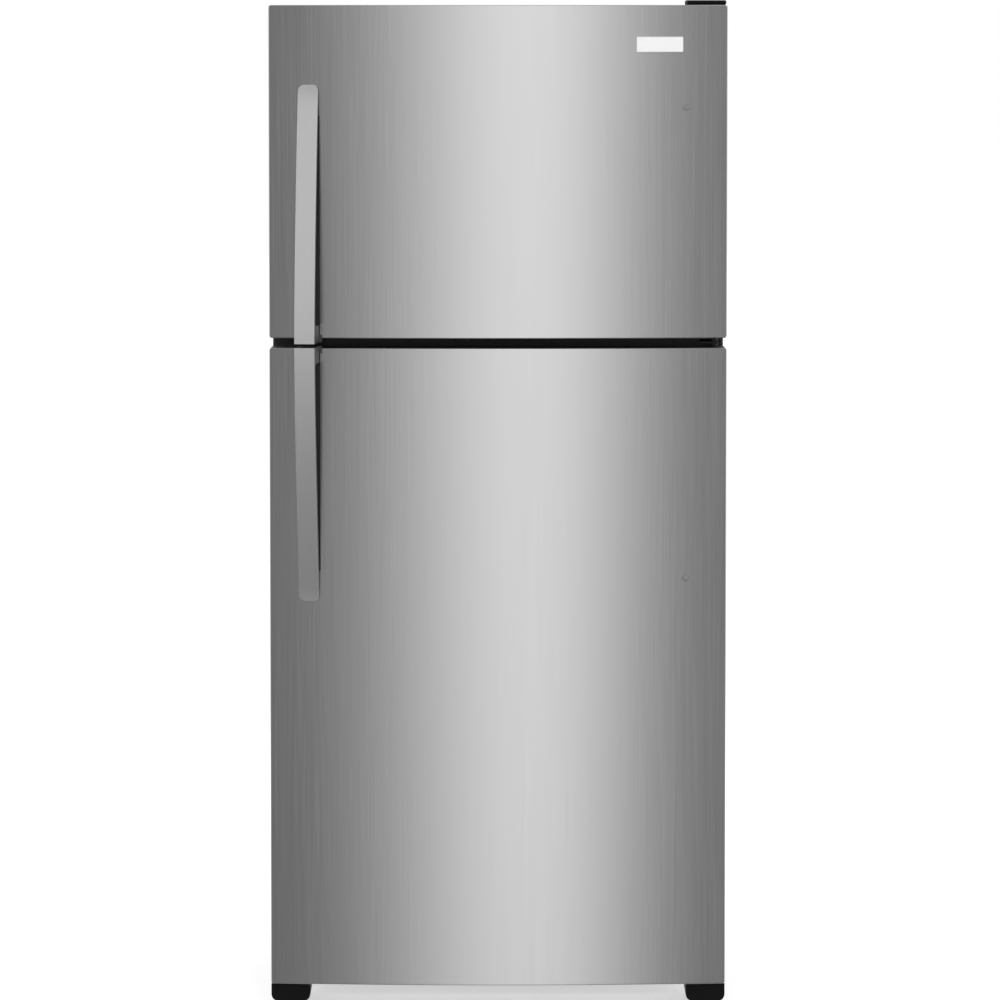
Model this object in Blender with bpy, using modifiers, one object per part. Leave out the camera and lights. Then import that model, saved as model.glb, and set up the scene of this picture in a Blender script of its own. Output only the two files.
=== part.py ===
"""Top-freezer refrigerator: cabinet, two swinging doors, interior fittings and machine compartment.

Metres, +Z up. The doors face -Y and hinge on +X. The origin is on the floor, under the middle of the
whole appliance.
"""

import math

import bmesh
import bpy
from mathutils import Matrix, Vector

# ---------------------------------------------------------------- driving dimensions

# Small clearance between pieces that touch, and the working clearance of pieces that move.
SEAM = 0.0003
RUNNING = 0.0020
OVERSHOOT = 0.02

# Cabinet, outside.
CABINET_WIDTH = 0.750
CABINET_DEPTH = 0.640
CABINET_HEIGHT = 1.611
CABINET_FRONT = -0.248
CABINET_BOTTOM = 0.045
SHEET = 0.0012
CABINET_CORNER = 0.004

# Insulated walls, from the outside of the cabinet to the inside of a compartment.
SIDE_WALL = 0.052
BACK_WALL = 0.055
FLOOR_WALL = 0.050
TOP_WALL = 0.056
MULLION_HEIGHT = 0.095
MULLION_MIDDLE = 1.1025
LINER_WALL = 0.003

# Machine compartment at the back of the base, and the hump that it makes in the lower compartment.
MACHINE_DEPTH = 0.190
MACHINE_HEIGHT = 0.215
HUMP_WALL = 0.045

# Doors. The front is a shallow arc across the width.
DOOR_OVERHANG = 0.0035
DOOR_TOP_RISE = 0.006
DOOR_GAP = 0.016
DOOR_DROP = 0.0105
DOOR_EDGE = 0.058
DOOR_CROWN = 0.022
DOOR_SPACE = 0.014
DOOR_SKIN = 0.0015
DOOR_CORNER = 0.004
DOOR_EDGE_ROUND = 0.0011
CAP_HEIGHT = 0.014
ARC_STEPS = 16

# Door hinges.
HINGE_INSET = 0.020
HINGE_DEPTH = 0.030
PIN_RADIUS = 0.0040
PIN_CLEARANCE = 0.0004
PIN_REACH = 0.0115
HINGE_PLATE = 0.0030
HINGE_COVER_TOP = 0.0080

# Gaskets and the inner door panels.
GASKET_WIDTH = 0.014
GASKET_SIDE = 0.0265
GASKET_GAP = 0.0005
GASKET_MULLION = 0.010
GASKET_END = 0.0235
DYKE_SIDE = 0.020
DYKE_END = 0.010
DYKE_THICK = 0.020
DYKE_REACH = 0.030

# Door bins and the dairy compartment.
BIN_REACH = 0.098
BIN_WALL = 0.003
BIN_HEIGHT = 0.090
FREEZER_BIN_RISES = (0.035, 0.230)
FRIDGE_LOW_BIN_RISE = 0.055
FRIDGE_HIGH_BIN_DROP = 0.4985
DAIRY_DROP = 0.155
DAIRY_HEIGHT = 0.105
DAIRY_REACH = 0.088
FLAP_THICK = 0.003

# Handles: a bar that rises away from the door towards the gap between the doors.
HANDLE_OFFSET = 0.312
HANDLE_WIDTH = 0.0333
HANDLE_STAND = 0.065
HANDLE_TIP = 0.008
HANDLE_BAR = 0.011
HANDLE_POST = 0.027
HANDLE_ROUND = 0.003
HANDLE_FLARE = 1.5
HANDLE_STEPS = 16
FREEZER_HANDLE_REACH = (0.0040, 0.4285)
FRIDGE_HANDLE_REACH = (-0.0025, -0.4255)

# Trim on the doors.
BADGE_SIZE = (0.079, 0.027)
BADGE_THICK = 0.0022
BADGE_OFFSET = 0.2665
BADGE_DROP = 0.0645
PLUG_RADIUS = 0.006
PLUG_HEIGHT = 0.0025
PLUG_OFFSET = 0.311
PLUG_REACHES = (0.3909, -0.3873)

# Shelves, drawers and controls.
SHELF_THICK = 0.008
SHELF_SETBACK = 0.115
SHELF_BACK_GAP = 0.030
FRIDGE_SHELF_DROPS = (0.475, 0.255)
CRISPER_COVER_RISE = 0.2425
FREEZER_SHELF_RISE = 0.220
LEDGE = 0.007
LEDGE_HEIGHT = 0.006
DRAWER_WALL = 0.003
DRAWER_SIDE = 0.010
DRAWER_LIFT = 0.003
DRAWER_HEADROOM = 0.008
DRAWER_LIP = 0.008
CONTROL_SIZE = (0.340, 0.200, 0.038)
CONTROL_SETBACK = 0.148
DIAL_RADIUS = 0.015
DIAL_DEPTH = 0.013
DIAL_SPACING = 0.150
LAMP_SIZE = (0.090, 0.060, 0.010)
SWITCH_RADIUS = 0.004
SWITCH_LENGTH = 0.055
SWITCH_OFFSET = -0.250
SWITCH_RISE = 0.0095

# Evaporator, behind the back wall of the upper compartment.
EVAPORATOR_SPACE = 0.072
EVAPORATOR_SIZE = (0.440, 0.044, 0.230)
FIN_COUNT = 15
FIN_THICK = 0.004
EVAPORATOR_FAN_RADIUS = 0.045
EVAPORATOR_FAN_DROP = 0.095

# Machine compartment pieces.
COMPRESSOR_RADIUS = 0.068
COMPRESSOR_HEIGHT = 0.150
COMPRESSOR_OFFSET = -0.220
CONDENSER_TUBE = 0.0030
CONDENSER_LEFT = -0.020
CONDENSER_RIGHT = 0.300
CONDENSER_PASSES = 5
CONDENSER_PITCH = 0.032
CONDENSER_LAYERS = 2
CONDENSER_FAN_RADIUS = 0.055
CONDENSER_FAN_OFFSET = -0.085
CONDENSER_FAN_RISE = 0.095
FAN_BLADES = 5

# Base frame, legs, rollers and foot covers.
RAIL_INSET = 0.045
RAIL_WIDTH = 0.030
RAIL_SHEET = 0.004
CROSSBAR_HEIGHT = 0.012
CROSSBAR_DEPTH = 0.032
ROLLER_RADIUS = 0.019
ROLLER_WIDTH = 0.020
ROLLER_SETBACK = 0.050
AXLE_RADIUS = 0.003
LEG_RADIUS = 0.004
LEG_PAD = 0.013
LEG_PAD_HEIGHT = 0.008
FOOT_WIDTH = 0.065
FOOT_WALL = 0.002
FOOT_LIFT = 0.003
FOOT_FRONT_INSET = 0.012
FOOT_ROUND = 0.012

# Edges, seams and fixings that many pieces share.
SMALL_ROUND = 0.0008
EDGE_ROUND = 0.002
TRAY_ROUND = 0.003
DYKE_ROUND = 0.008
CAP_INSET = 0.0006
DOOR_MIDDLE_RISE = 0.0022

# Hinge plates and their cover.
HINGE_ARM_SIDE = 0.022
HINGE_ARM_END = 0.004
HINGE_ARM_FRONT = 0.012
HINGE_ARM_REACH = 0.060
HINGE_ARM_LIFT = 0.0008
HINGE_COVER_LEFT = 0.0465
HINGE_COVER_RIGHT = 0.0182
HINGE_COVER_REACH = 0.068
HINGE_COVER_WALL = 0.0018
HINGE_COVER_ROUND = 0.0025
CENTER_TAB_WIDTH = 0.060

# Fans: a hub with bent blades on the shaft of a small motor.
HUB_SHARE = 0.32
HUB_HALF = 0.009
BLADE_HALF = 0.014
BLADE_START_SHARE = 0.25
BLADE_HALF_THICK = 0.001
SHAFT_RADIUS = 0.003
SHAFT_FRONT = 0.011
MOTOR_RADIUS = 0.021
MOTOR_START = 0.012
MOTOR_LAP = 0.016
EVAPORATOR_MOTOR_LENGTH = 0.052
CONDENSER_MOTOR_LENGTH = 0.038
MOTOR_STRAP_HALF = (0.060, 0.014)

# Small inside details.
GRIP_HALF = 0.040
GRIP_REACH = 0.006
GRIP_HEIGHTS = (0.006, 0.010)
DRAWER_GRIP_SHARE = 0.36
DRAWER_GRIP_DROPS = (0.020, 0.016)
SLOT_INSET = 0.010
SLOT_SIDE = 0.006
SLOT_END = 0.014
STEM_RADIUS = 0.004
STEM_LENGTH = 0.012
DIAL_GRIP_HALF = 0.0025
EVAPORATOR_STANDOFF = 0.014
EVAPORATOR_RISE = 0.020
FAN_STANDOFF = 0.016
FAN_HOLE_CLEARANCE = 0.004
RETURN_SLOT = (0.060, 0.012)
RETURN_SLOT_PITCH = 0.100
RETURN_SLOT_START = -0.230

# Compressor shell, its plate and feet, above the deck.
SHELL_LIFT = 0.012
SHELL_SHARES = (0.94, 0.86)
FOOT_PLATE_HALF = (0.085, 0.060)
FOOT_PLATE_LEVELS = (0.0105, 0.0145)
GROMMET_PLACES = (0.074, 0.049)
GROMMET_RADIUS = 0.009
GROMMET_HEIGHT = 0.018

# Rear cover and its slots.
COVER_MARGIN = 0.045
COVER_SLOT_RISE = 0.050
COVER_SLOT_STARTS = (0.012, 0.080)
COVER_SLOT_HEIGHT = 0.012

# ---------------------------------------------------------------- places worked out from them

HALF_CABINET = CABINET_WIDTH / 2
CABINET_BACK = CABINET_FRONT + CABINET_DEPTH
CABINET_TOP = CABINET_BOTTOM + CABINET_HEIGHT
CAVITY_HALF = HALF_CABINET - SIDE_WALL
CAVITY_BACK = CABINET_BACK - BACK_WALL
FREEZER_FLOOR = MULLION_MIDDLE + MULLION_HEIGHT / 2
FREEZER_CEILING = CABINET_TOP - TOP_WALL
FRIDGE_FLOOR = CABINET_BOTTOM + FLOOR_WALL
FRIDGE_CEILING = MULLION_MIDDLE - MULLION_HEIGHT / 2
MACHINE_FRONT = CABINET_BACK - MACHINE_DEPTH
MACHINE_TOP = CABINET_BOTTOM + MACHINE_HEIGHT
HUMP_FRONT = MACHINE_FRONT - HUMP_WALL
HUMP_TOP = MACHINE_TOP + HUMP_WALL

HALF_DOOR = HALF_CABINET + DOOR_OVERHANG
RAIL_OFFSET = HALF_CABINET - RAIL_INSET
DOOR_BACK = CABINET_FRONT - DOOR_SPACE
DOOR_FRONT_EDGE = DOOR_BACK - DOOR_EDGE
DOOR_FRONT = DOOR_FRONT_EDGE - DOOR_CROWN
ARC_RADIUS = HALF_DOOR**2 / (2 * DOOR_CROWN) + DOOR_CROWN / 2
FREEZER_DOOR = (MULLION_MIDDLE + DOOR_MIDDLE_RISE + DOOR_GAP / 2, CABINET_TOP + DOOR_TOP_RISE)
FRIDGE_DOOR = (CABINET_BOTTOM - DOOR_DROP, FREEZER_DOOR[0] - DOOR_GAP)
HINGE_X = HALF_DOOR - HINGE_INSET
HINGE_Y = DOOR_BACK - HINGE_DEPTH
SHELF_FRONT = CABINET_FRONT + SHELF_SETBACK
BIN_BACK = CABINET_FRONT + BIN_REACH
DYKE_HALF = CAVITY_HALF - DYKE_SIDE
BIN_HALF = DYKE_HALF - DYKE_THICK - SEAM
PLATE_FRONT = DOOR_BACK - LINER_WALL
DAIRY_BACK = CABINET_FRONT + DAIRY_REACH
DAIRY_FLOOR = FRIDGE_CEILING - DAIRY_DROP
FLAP_AXIS = (DAIRY_BACK + RUNNING / 2 + FLAP_THICK / 2, DAIRY_FLOOR + DAIRY_HEIGHT - FLAP_THICK / 2)
EVAPORATOR_FRONT = CAVITY_BACK - EVAPORATOR_SPACE
CONTROL_FRONT = CABINET_FRONT + CONTROL_SETBACK
CONTROL_BOTTOM = FRIDGE_CEILING - SEAM - CONTROL_SIZE[2]
RAIL_TOP = CABINET_BOTTOM - SEAM
CROSSBAR_BOTTOM = RAIL_TOP - CROSSBAR_HEIGHT
CROSSBAR_FRONT = CABINET_FRONT + 0.001
LEG_Y = CROSSBAR_FRONT + CROSSBAR_DEPTH / 2
ROLLER_Y = CABINET_BACK - ROLLER_SETBACK
FOOT_OUTER = HALF_DOOR
FOOT_FRONT = DOOR_FRONT_EDGE + FOOT_FRONT_INSET
FOOT_BACK = LEG_Y + LEG_PAD + 0.006
FOOT_TOP = FRIDGE_DOOR[0] - RUNNING
HINGE_PLATE_TOP = FRIDGE_DOOR[0] - RUNNING - SEAM
COMPRESSOR_Y = (MACHINE_FRONT + CABINET_BACK) / 2
FREEZER_BIN_FLOORS = tuple(FREEZER_FLOOR + rise for rise in FREEZER_BIN_RISES)
FRIDGE_BIN_FLOORS = (FRIDGE_FLOOR + FRIDGE_LOW_BIN_RISE, FRIDGE_CEILING - FRIDGE_HIGH_BIN_DROP)
FREEZER_HANDLE = tuple(MULLION_MIDDLE + reach for reach in FREEZER_HANDLE_REACH)
FRIDGE_HANDLE = tuple(MULLION_MIDDLE + reach for reach in FRIDGE_HANDLE_REACH)
BADGE_MIDDLE = (BADGE_OFFSET, FREEZER_DOOR[1] - BADGE_DROP)
PLUG_HEIGHTS = tuple(MULLION_MIDDLE + reach for reach in PLUG_REACHES)
FRIDGE_SHELVES = tuple(FRIDGE_CEILING - drop for drop in FRIDGE_SHELF_DROPS)
CRISPER_COVER_HEIGHT = FRIDGE_FLOOR + CRISPER_COVER_RISE
FREEZER_SHELF_HEIGHT = FREEZER_FLOOR + FREEZER_SHELF_RISE
EVAPORATOR_FAN_HEIGHT = FREEZER_CEILING - EVAPORATOR_FAN_DROP
CONDENSER_FAN_HEIGHT = RAIL_TOP + SEAM + CONDENSER_FAN_RISE

# ---------------------------------------------------------------- scene, materials and small tools

for old in list(bpy.data.objects):
    bpy.data.objects.remove(old, do_unlink=True)

PARTS = bpy.data.collections.new("top_freezer_refrigerator")
CUTTERS = bpy.data.collections.new("cutters")
for group in (PARTS, CUTTERS):
    bpy.context.scene.collection.children.link(group)


def linear(channel):
    """One sRGB channel, 0 to 1, as linear light."""
    return channel / 12.92 if channel <= 0.04045 else ((channel + 0.055) / 1.055) ** 2.4


def material(name, colour, roughness, metallic=0.0, transmission=0.0):
    """A Principled material from an sRGB hex colour."""
    made = bpy.data.materials.new(name)
    made.use_nodes = True
    shader = made.node_tree.nodes["Principled BSDF"]
    rgb = [linear(int(colour[i : i + 2], 16) / 255) for i in (0, 2, 4)]
    shader.inputs["Base Color"].default_value = (*rgb, 1.0)
    shader.inputs["Roughness"].default_value = roughness
    shader.inputs["Metallic"].default_value = metallic
    shader.inputs["Transmission Weight"].default_value = transmission
    return made


STEEL = material("brushed_stainless", "C4C5C6", 0.30, 1.0)
BLACK_STEEL = material("black_painted_steel", "17181A", 0.45)
ZINC = material("zinc_plated_steel", "A9ABAC", 0.40, 1.0)
COPPER = material("copper_tube", "B87350", 0.35, 1.0)
ALUMINIUM = material("aluminium_fins", "C9CBCD", 0.35, 1.0)
WHITE = material("white_polystyrene", "F1F2F0", 0.35)
CLEAR = material("clear_polystyrene", "E8EEF0", 0.08, 0.0, 0.9)
GLASS = material("tempered_glass", "DDE8E6", 0.03, 0.0, 0.9)
FOAM = material("polyurethane_foam", "E7D9A8", 0.90)
GREY = material("grey_plastic", "5A5C5E", 0.45)
BLACK = material("black_plastic", "141416", 0.50)
VINYL = material("grey_vinyl_gasket", "8C8E90", 0.60)
BOARD = material("black_fibreboard", "2A2A2B", 0.80)


def add_object(name, mesh, place):
    """Link a mesh as a new object at a place."""
    made = bpy.data.objects.new(name, mesh)
    made.location = place
    CUTTERS.objects.link(made)
    made.hide_render = True
    made.display_type = "WIRE"
    return made


def box(name, low, high):
    """A box between two corners, with its origin at its middle."""
    low, high = Vector(low), Vector(high)
    shape = bmesh.new()
    bmesh.ops.create_cube(shape, size=1.0, matrix=Matrix.Diagonal((*(high - low), 1.0)))
    mesh = bpy.data.meshes.new(name)
    shape.to_mesh(mesh)
    shape.free()
    return add_object(name, mesh, (low + high) / 2)


def rod(name, radius, start, end, sides=16):
    """A round bar between two points."""
    start, end = Vector(start), Vector(end)
    along = end - start
    shape = bmesh.new()
    bmesh.ops.create_cone(
        shape, cap_ends=True, segments=sides, radius1=radius, radius2=radius, depth=along.length
    )
    shape.transform(along.to_track_quat("Z", "Y").to_matrix().to_4x4())
    mesh = bpy.data.meshes.new(name)
    shape.to_mesh(mesh)
    shape.free()
    return add_object(name, mesh, (start + end) / 2)


# A flat outline's own X, Y and Z as world directions, for each direction that it is extruded along.
OUTLINE_TURN = {
    "Z": Matrix.Identity(4),
    "X": Matrix(((0, 0, 1, 0), (1, 0, 0, 0), (0, 1, 0, 0), (0, 0, 0, 1))),
    "Y": Matrix(((1, 0, 0, 0), (0, 0, -1, 0), (0, 1, 0, 0), (0, 0, 0, 1))),
}


def to_mesh(name, curve, turn=None):
    """Turn a curve object into a closed mesh object in its place, and remove the curve."""
    CUTTERS.objects.link(curve)
    bpy.context.view_layer.update()
    depsgraph = bpy.context.evaluated_depsgraph_get()
    mesh = bpy.data.meshes.new_from_object(curve.evaluated_get(depsgraph))
    shape = bmesh.new()
    shape.from_mesh(mesh)
    bmesh.ops.remove_doubles(shape, verts=shape.verts, dist=0.00001)
    if turn is not None:
        shape.transform(turn)
    bmesh.ops.recalc_face_normals(shape, faces=shape.faces)
    shape.to_mesh(mesh)
    shape.free()
    place = curve.matrix_world.copy()
    bpy.data.objects.remove(curve, do_unlink=True)
    mesh.name = name
    made = add_object(name, mesh, (0, 0, 0))
    made.matrix_world = place
    return made


def prism(name, outline, along, low, high):
    """A flat outline extruded from low to high along X, Y or Z."""
    data = bpy.data.curves.new(name, "CURVE")
    data.dimensions = "2D"
    data.fill_mode = "BOTH"
    data.extrude = (high - low) / 2
    spline = data.splines.new("POLY")
    spline.points.add(len(outline) - 1)
    for point, (a, b) in zip(spline.points, outline):
        point.co = (a, b, 0, 1)
    spline.use_cyclic_u = True
    middle = (low + high) / 2
    shift = Matrix.Translation((0, 0, -middle if along == "Y" else middle))
    return to_mesh(name, bpy.data.objects.new(name, data), OUTLINE_TURN[along] @ shift)


def tube(name, points, radius):
    """A round tube through a list of points."""
    data = bpy.data.curves.new(name, "CURVE")
    data.dimensions = "3D"
    data.bevel_depth = radius
    data.bevel_resolution = 2
    data.use_fill_caps = True
    spline = data.splines.new("POLY")
    spline.points.add(len(points) - 1)
    for point, place in zip(spline.points, points):
        point.co = (*place, 1)
    return to_mesh(name, bpy.data.objects.new(name, data))


def turned(name, profile, place, axis=(0, 0, 1), steps=20):
    """A (radius, height) profile, top to bottom, turned round an axis through a place."""
    mesh = bpy.data.meshes.new(name)
    edges = [(i, i + 1) for i in range(len(profile) - 1)]
    mesh.from_pydata([(r, 0, z) for r, z in profile], edges, [])
    made = add_object(name, mesh, place)
    made.rotation_euler = Vector(axis).to_track_quat("Z", "Y").to_euler()
    screw = made.modifiers.new("turn", "SCREW")
    screw.steps = steps
    screw.render_steps = steps
    screw.use_merge_vertices = True
    screw.merge_threshold = 0.00001
    return made


def rounded_outline(low, high, radius, steps=4):
    """A rectangle with rounded corners, as (a, b) points."""
    points = []
    corners = ((high[0], high[1], 0), (low[0], high[1], 90), (low[0], low[1], 180), (high[0], low[1], 270))
    for a, b, start in corners:
        middle_a = a - math.copysign(radius, a - (low[0] + high[0]) / 2)
        middle_b = b - math.copysign(radius, b - (low[1] + high[1]) / 2)
        for step in range(steps + 1):
            angle = math.radians(start + 90 * step / steps)
            points.append((middle_a + radius * math.cos(angle), middle_b + radius * math.sin(angle)))
    return points


def boolean(target, tool, operation):
    """Cut, join or trim a target with another closed solid, which then moves with it."""
    bpy.context.view_layer.update()
    tool.parent = target
    tool.matrix_parent_inverse = target.matrix_world.inverted()
    step = target.modifiers.new(operation.lower(), "BOOLEAN")
    step.operation = operation
    step.object = tool
    return target


def cut(target, *tools):
    """Cut solids out of a target."""
    for tool in tools:
        boolean(target, tool, "DIFFERENCE")
    return target


def join(target, *pieces):
    """Join solids to a target, as one body."""
    for piece in pieces:
        boolean(target, piece, "UNION")
    return target


def soften(target, width, segments=2):
    """Round the real edges of a solid."""
    bevel = target.modifiers.new("edge_round", "BEVEL")
    bevel.width = width
    bevel.segments = segments
    bevel.limit_method = "ANGLE"
    bevel.angle_limit = math.radians(40)
    return target


def finish(target, finish_material, body, smooth=False):
    """Move a finished piece into the model, give it its material and hang it on its body."""
    CUTTERS.objects.unlink(target)
    PARTS.objects.link(target)
    target.hide_render = False
    target.display_type = "TEXTURED"
    target.data.materials.clear()
    target.data.materials.append(finish_material)
    if smooth:
        target.data.shade_smooth()
        target.data.set_sharp_from_angle(angle=math.radians(35))
    bpy.context.view_layer.update()
    target.parent = body
    target.matrix_parent_inverse = body.matrix_world.inverted()
    return target


def pivot(name, place, parent=None):
    """An empty on a body's joint axis."""
    made = bpy.data.objects.new(name + "_axis", None)
    made.location = place
    PARTS.objects.link(made)
    bpy.context.view_layer.update()
    if parent is not None:
        made.parent = parent
        made.matrix_parent_inverse = parent.matrix_world.inverted()
        bpy.context.view_layer.update()
    return made


# ---------------------------------------------------------------- shapes shared by several pieces


def fridge_cavity(name, grow, front):
    """The lower compartment's inside, grown by a wall, with the step over the machine compartment."""
    half = CAVITY_HALF + grow
    outline = [
        (front, FRIDGE_FLOOR - grow),
        (HUMP_FRONT + grow, FRIDGE_FLOOR - grow),
        (HUMP_FRONT + grow, HUMP_TOP - grow),
        (CAVITY_BACK + grow, HUMP_TOP - grow),
        (CAVITY_BACK + grow, FRIDGE_CEILING + grow),
        (front, FRIDGE_CEILING + grow),
    ]
    return prism(name, outline, "X", -half, half)


def freezer_cavity(name, grow, front):
    """The upper compartment's inside, grown by a wall."""
    half = CAVITY_HALF + grow
    low = (-half, front, FREEZER_FLOOR - grow)
    high = (half, CAVITY_BACK + grow, FREEZER_CEILING + grow)
    return box(name, low, high)


def arc_y(x, inset=0.0):
    """Y of the door's front at a place across its width, or of a surface that far inside it."""
    radius = ARC_RADIUS - inset
    return DOOR_FRONT + ARC_RADIUS - math.sqrt(radius**2 - x**2)


def door_arc(left, right, inset=0.0, steps=ARC_STEPS):
    """Points along the door's front, from left to right."""
    places = [left + (right - left) * i / steps for i in range(steps + 1)]
    return [(x, arc_y(x, inset)) for x in places]


def door_plan(inset, back):
    """The door seen from above: its arched front, and its back at a given Y."""
    half = HALF_DOOR - inset
    return door_arc(-half, half, inset) + [(half, back), (-half, back)]


def on_door(x):
    """The turn about Z that faces a piece outwards from the door's front at x."""
    return math.asin(x / ARC_RADIUS)


def open_tray(name, low, high, wall, radius=0.004):
    """A tray open at the top, with rounded outer edges."""
    made = soften(box(name, low, high), radius, 3)
    inner_low = [c + wall for c in low]
    inner_high = [high[0] - wall, high[1] - wall, high[2] + OVERSHOOT]
    return cut(made, soften(box(name + "_inside", inner_low, inner_high), radius - wall / 2, 2))


def fan_blades(name, place, radius, axis):
    """A hub with pitched blades, and a bore for the motor's shaft."""
    reach = Vector(axis) * HUB_HALF
    hub = rod(name, radius * HUB_SHARE, Vector(place) - reach, Vector(place) + reach)
    side = Vector((0, 0, 1))
    across = Vector(axis).cross(side)
    for index in range(FAN_BLADES):
        angle = math.tau * index / FAN_BLADES
        blade_low = (-BLADE_HALF, radius * BLADE_START_SHARE, -BLADE_HALF_THICK)
        blade = box(f"{name}_blade_{index}", blade_low, (BLADE_HALF, radius, BLADE_HALF_THICK))
        out = side * math.cos(angle) + across * math.sin(angle)
        turn = Matrix((out.cross(Vector(axis)), out, Vector(axis))).transposed()
        blade.matrix_world = (
            Matrix.Translation(place)
            @ turn.to_4x4()
            @ Matrix.Rotation(math.radians(28), 4, "Y")
            @ Matrix.Translation(blade.location)
        )
        join(hub, blade)
    start = Vector(place) - Vector(axis) * OVERSHOOT
    end = Vector(place) + Vector(axis) * OVERSHOOT
    return cut(hub, rod(name + "_bore", SHAFT_RADIUS + PIN_CLEARANCE, start, end, 16))


def fan_motor(name, place, axis, length, mount_low, mount_high):
    """A fan's motor: a can with a shaft through the fan, on a mounting plate."""
    place, axis = Vector(place), Vector(axis)
    can = rod(name, MOTOR_RADIUS, place + axis * MOTOR_START, place + axis * length)
    shaft = rod(name + "_shaft", SHAFT_RADIUS, place - axis * SHAFT_FRONT, place + axis * MOTOR_LAP, 16)
    return join(can, shaft, box(name + "_plate", mount_low, mount_high))


# ---------------------------------------------------------------- cabinet


def build_cabinet(body):
    """Painted wrapper, foam, back panel and the two liners."""
    wrapper = soften(
        box(
            "cabinet_wrapper",
            (-HALF_CABINET, CABINET_FRONT, CABINET_BOTTOM),
            (HALF_CABINET, CABINET_BACK, CABINET_TOP),
        ),
        CABINET_CORNER,
        3,
    )
    inside_low = (-HALF_CABINET + SHEET, CABINET_FRONT + SHEET, CABINET_BOTTOM + SHEET)
    inside_high = (HALF_CABINET - SHEET, CABINET_BACK + OVERSHOOT, CABINET_TOP - SHEET)
    machine_low = (-HALF_CABINET + SHEET, MACHINE_FRONT, CABINET_BOTTOM - OVERSHOOT)
    machine_high = (HALF_CABINET - SHEET, CABINET_BACK + OVERSHOOT, MACHINE_TOP)
    grow = LINER_WALL + SEAM
    switch_start = (SWITCH_OFFSET, CABINET_FRONT - OVERSHOOT, FRIDGE_CEILING + SWITCH_RISE)
    switch_end = (SWITCH_OFFSET, CABINET_FRONT + SWITCH_LENGTH, FRIDGE_CEILING + SWITCH_RISE)
    switch_radius = SWITCH_RADIUS + PIN_CLEARANCE
    cut(
        wrapper,
        soften(box("wrapper_inside", inside_low, inside_high), CABINET_CORNER - SHEET, 3),
        freezer_cavity("freezer_mouth", grow, CABINET_FRONT - OVERSHOOT),
        fridge_cavity("fridge_mouth", grow, CABINET_FRONT - OVERSHOOT),
        box("machine_mouth", machine_low, machine_high),
        rod("switch_hole", switch_radius, switch_start, switch_end),
    )
    finish(wrapper, BLACK_STEEL, body)

    wall = SHEET + SEAM
    foam = soften(
        box(
            "cabinet_insulation",
            (-HALF_CABINET + wall, CABINET_FRONT + wall, CABINET_BOTTOM + wall),
            (HALF_CABINET - wall, CABINET_BACK - wall - SEAM, CABINET_TOP - wall),
        ),
        CABINET_CORNER - SHEET,
        3,
    )
    foam_machine_low = (-HALF_CABINET, MACHINE_FRONT - SEAM, CABINET_BOTTOM - OVERSHOOT)
    foam_machine_high = (HALF_CABINET, CABINET_BACK + OVERSHOOT, MACHINE_TOP)
    cut(
        foam,
        freezer_cavity("foam_freezer", grow, CABINET_FRONT - OVERSHOOT),
        fridge_cavity("foam_fridge", grow, CABINET_FRONT - OVERSHOOT),
        box("foam_machine", foam_machine_low, foam_machine_high),
        rod("foam_switch", switch_radius, switch_start, (SWITCH_OFFSET, switch_end[1] + 0.01, switch_end[2])),
    )
    finish(foam, FOAM, body)

    panel_low = (-HALF_CABINET + wall, CABINET_BACK - SHEET, MACHINE_TOP + SEAM)
    panel_high = (HALF_CABINET - wall, CABINET_BACK, CABINET_TOP - wall)
    finish(box("back_panel", panel_low, panel_high), BLACK_STEEL, body)

    freezer = freezer_cavity("freezer_liner", LINER_WALL, CABINET_FRONT)
    cut(freezer, freezer_cavity("freezer_liner_inside", 0.0, CABINET_FRONT - OVERSHOOT))
    join(freezer, *ledges("freezer", FREEZER_SHELF_HEIGHT))
    finish(freezer, WHITE, body)

    fridge = fridge_cavity("fridge_liner", LINER_WALL, CABINET_FRONT)
    cut(fridge, fridge_cavity("fridge_liner_inside", 0.0, CABINET_FRONT - OVERSHOOT))
    for height in (CRISPER_COVER_HEIGHT, *FRIDGE_SHELVES):
        join(fridge, *ledges("fridge", height))
    finish(fridge, WHITE, body)


def ledges(name, height):
    """The pair of side ledges that one shelf rests on."""
    top = height - SEAM
    made = []
    for side in (-1, 1):
        inner = side * (CAVITY_HALF - LEDGE)
        outer = side * (CAVITY_HALF + LINER_WALL / 2)
        low = (min(inner, outer), SHELF_FRONT, top - LEDGE_HEIGHT)
        high = (max(inner, outer), HUMP_FRONT - RUNNING, top)
        made.append(box(f"{name}_ledge_{height}_{side}", low, high))
    return made


# ---------------------------------------------------------------- hinges


def hinge_pin(name, start, end):
    """A hinge pin on the doors' axis, between two heights."""
    return rod(name, PIN_RADIUS, (HINGE_X, HINGE_Y, start), (HINGE_X, HINGE_Y, end), 12)


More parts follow.
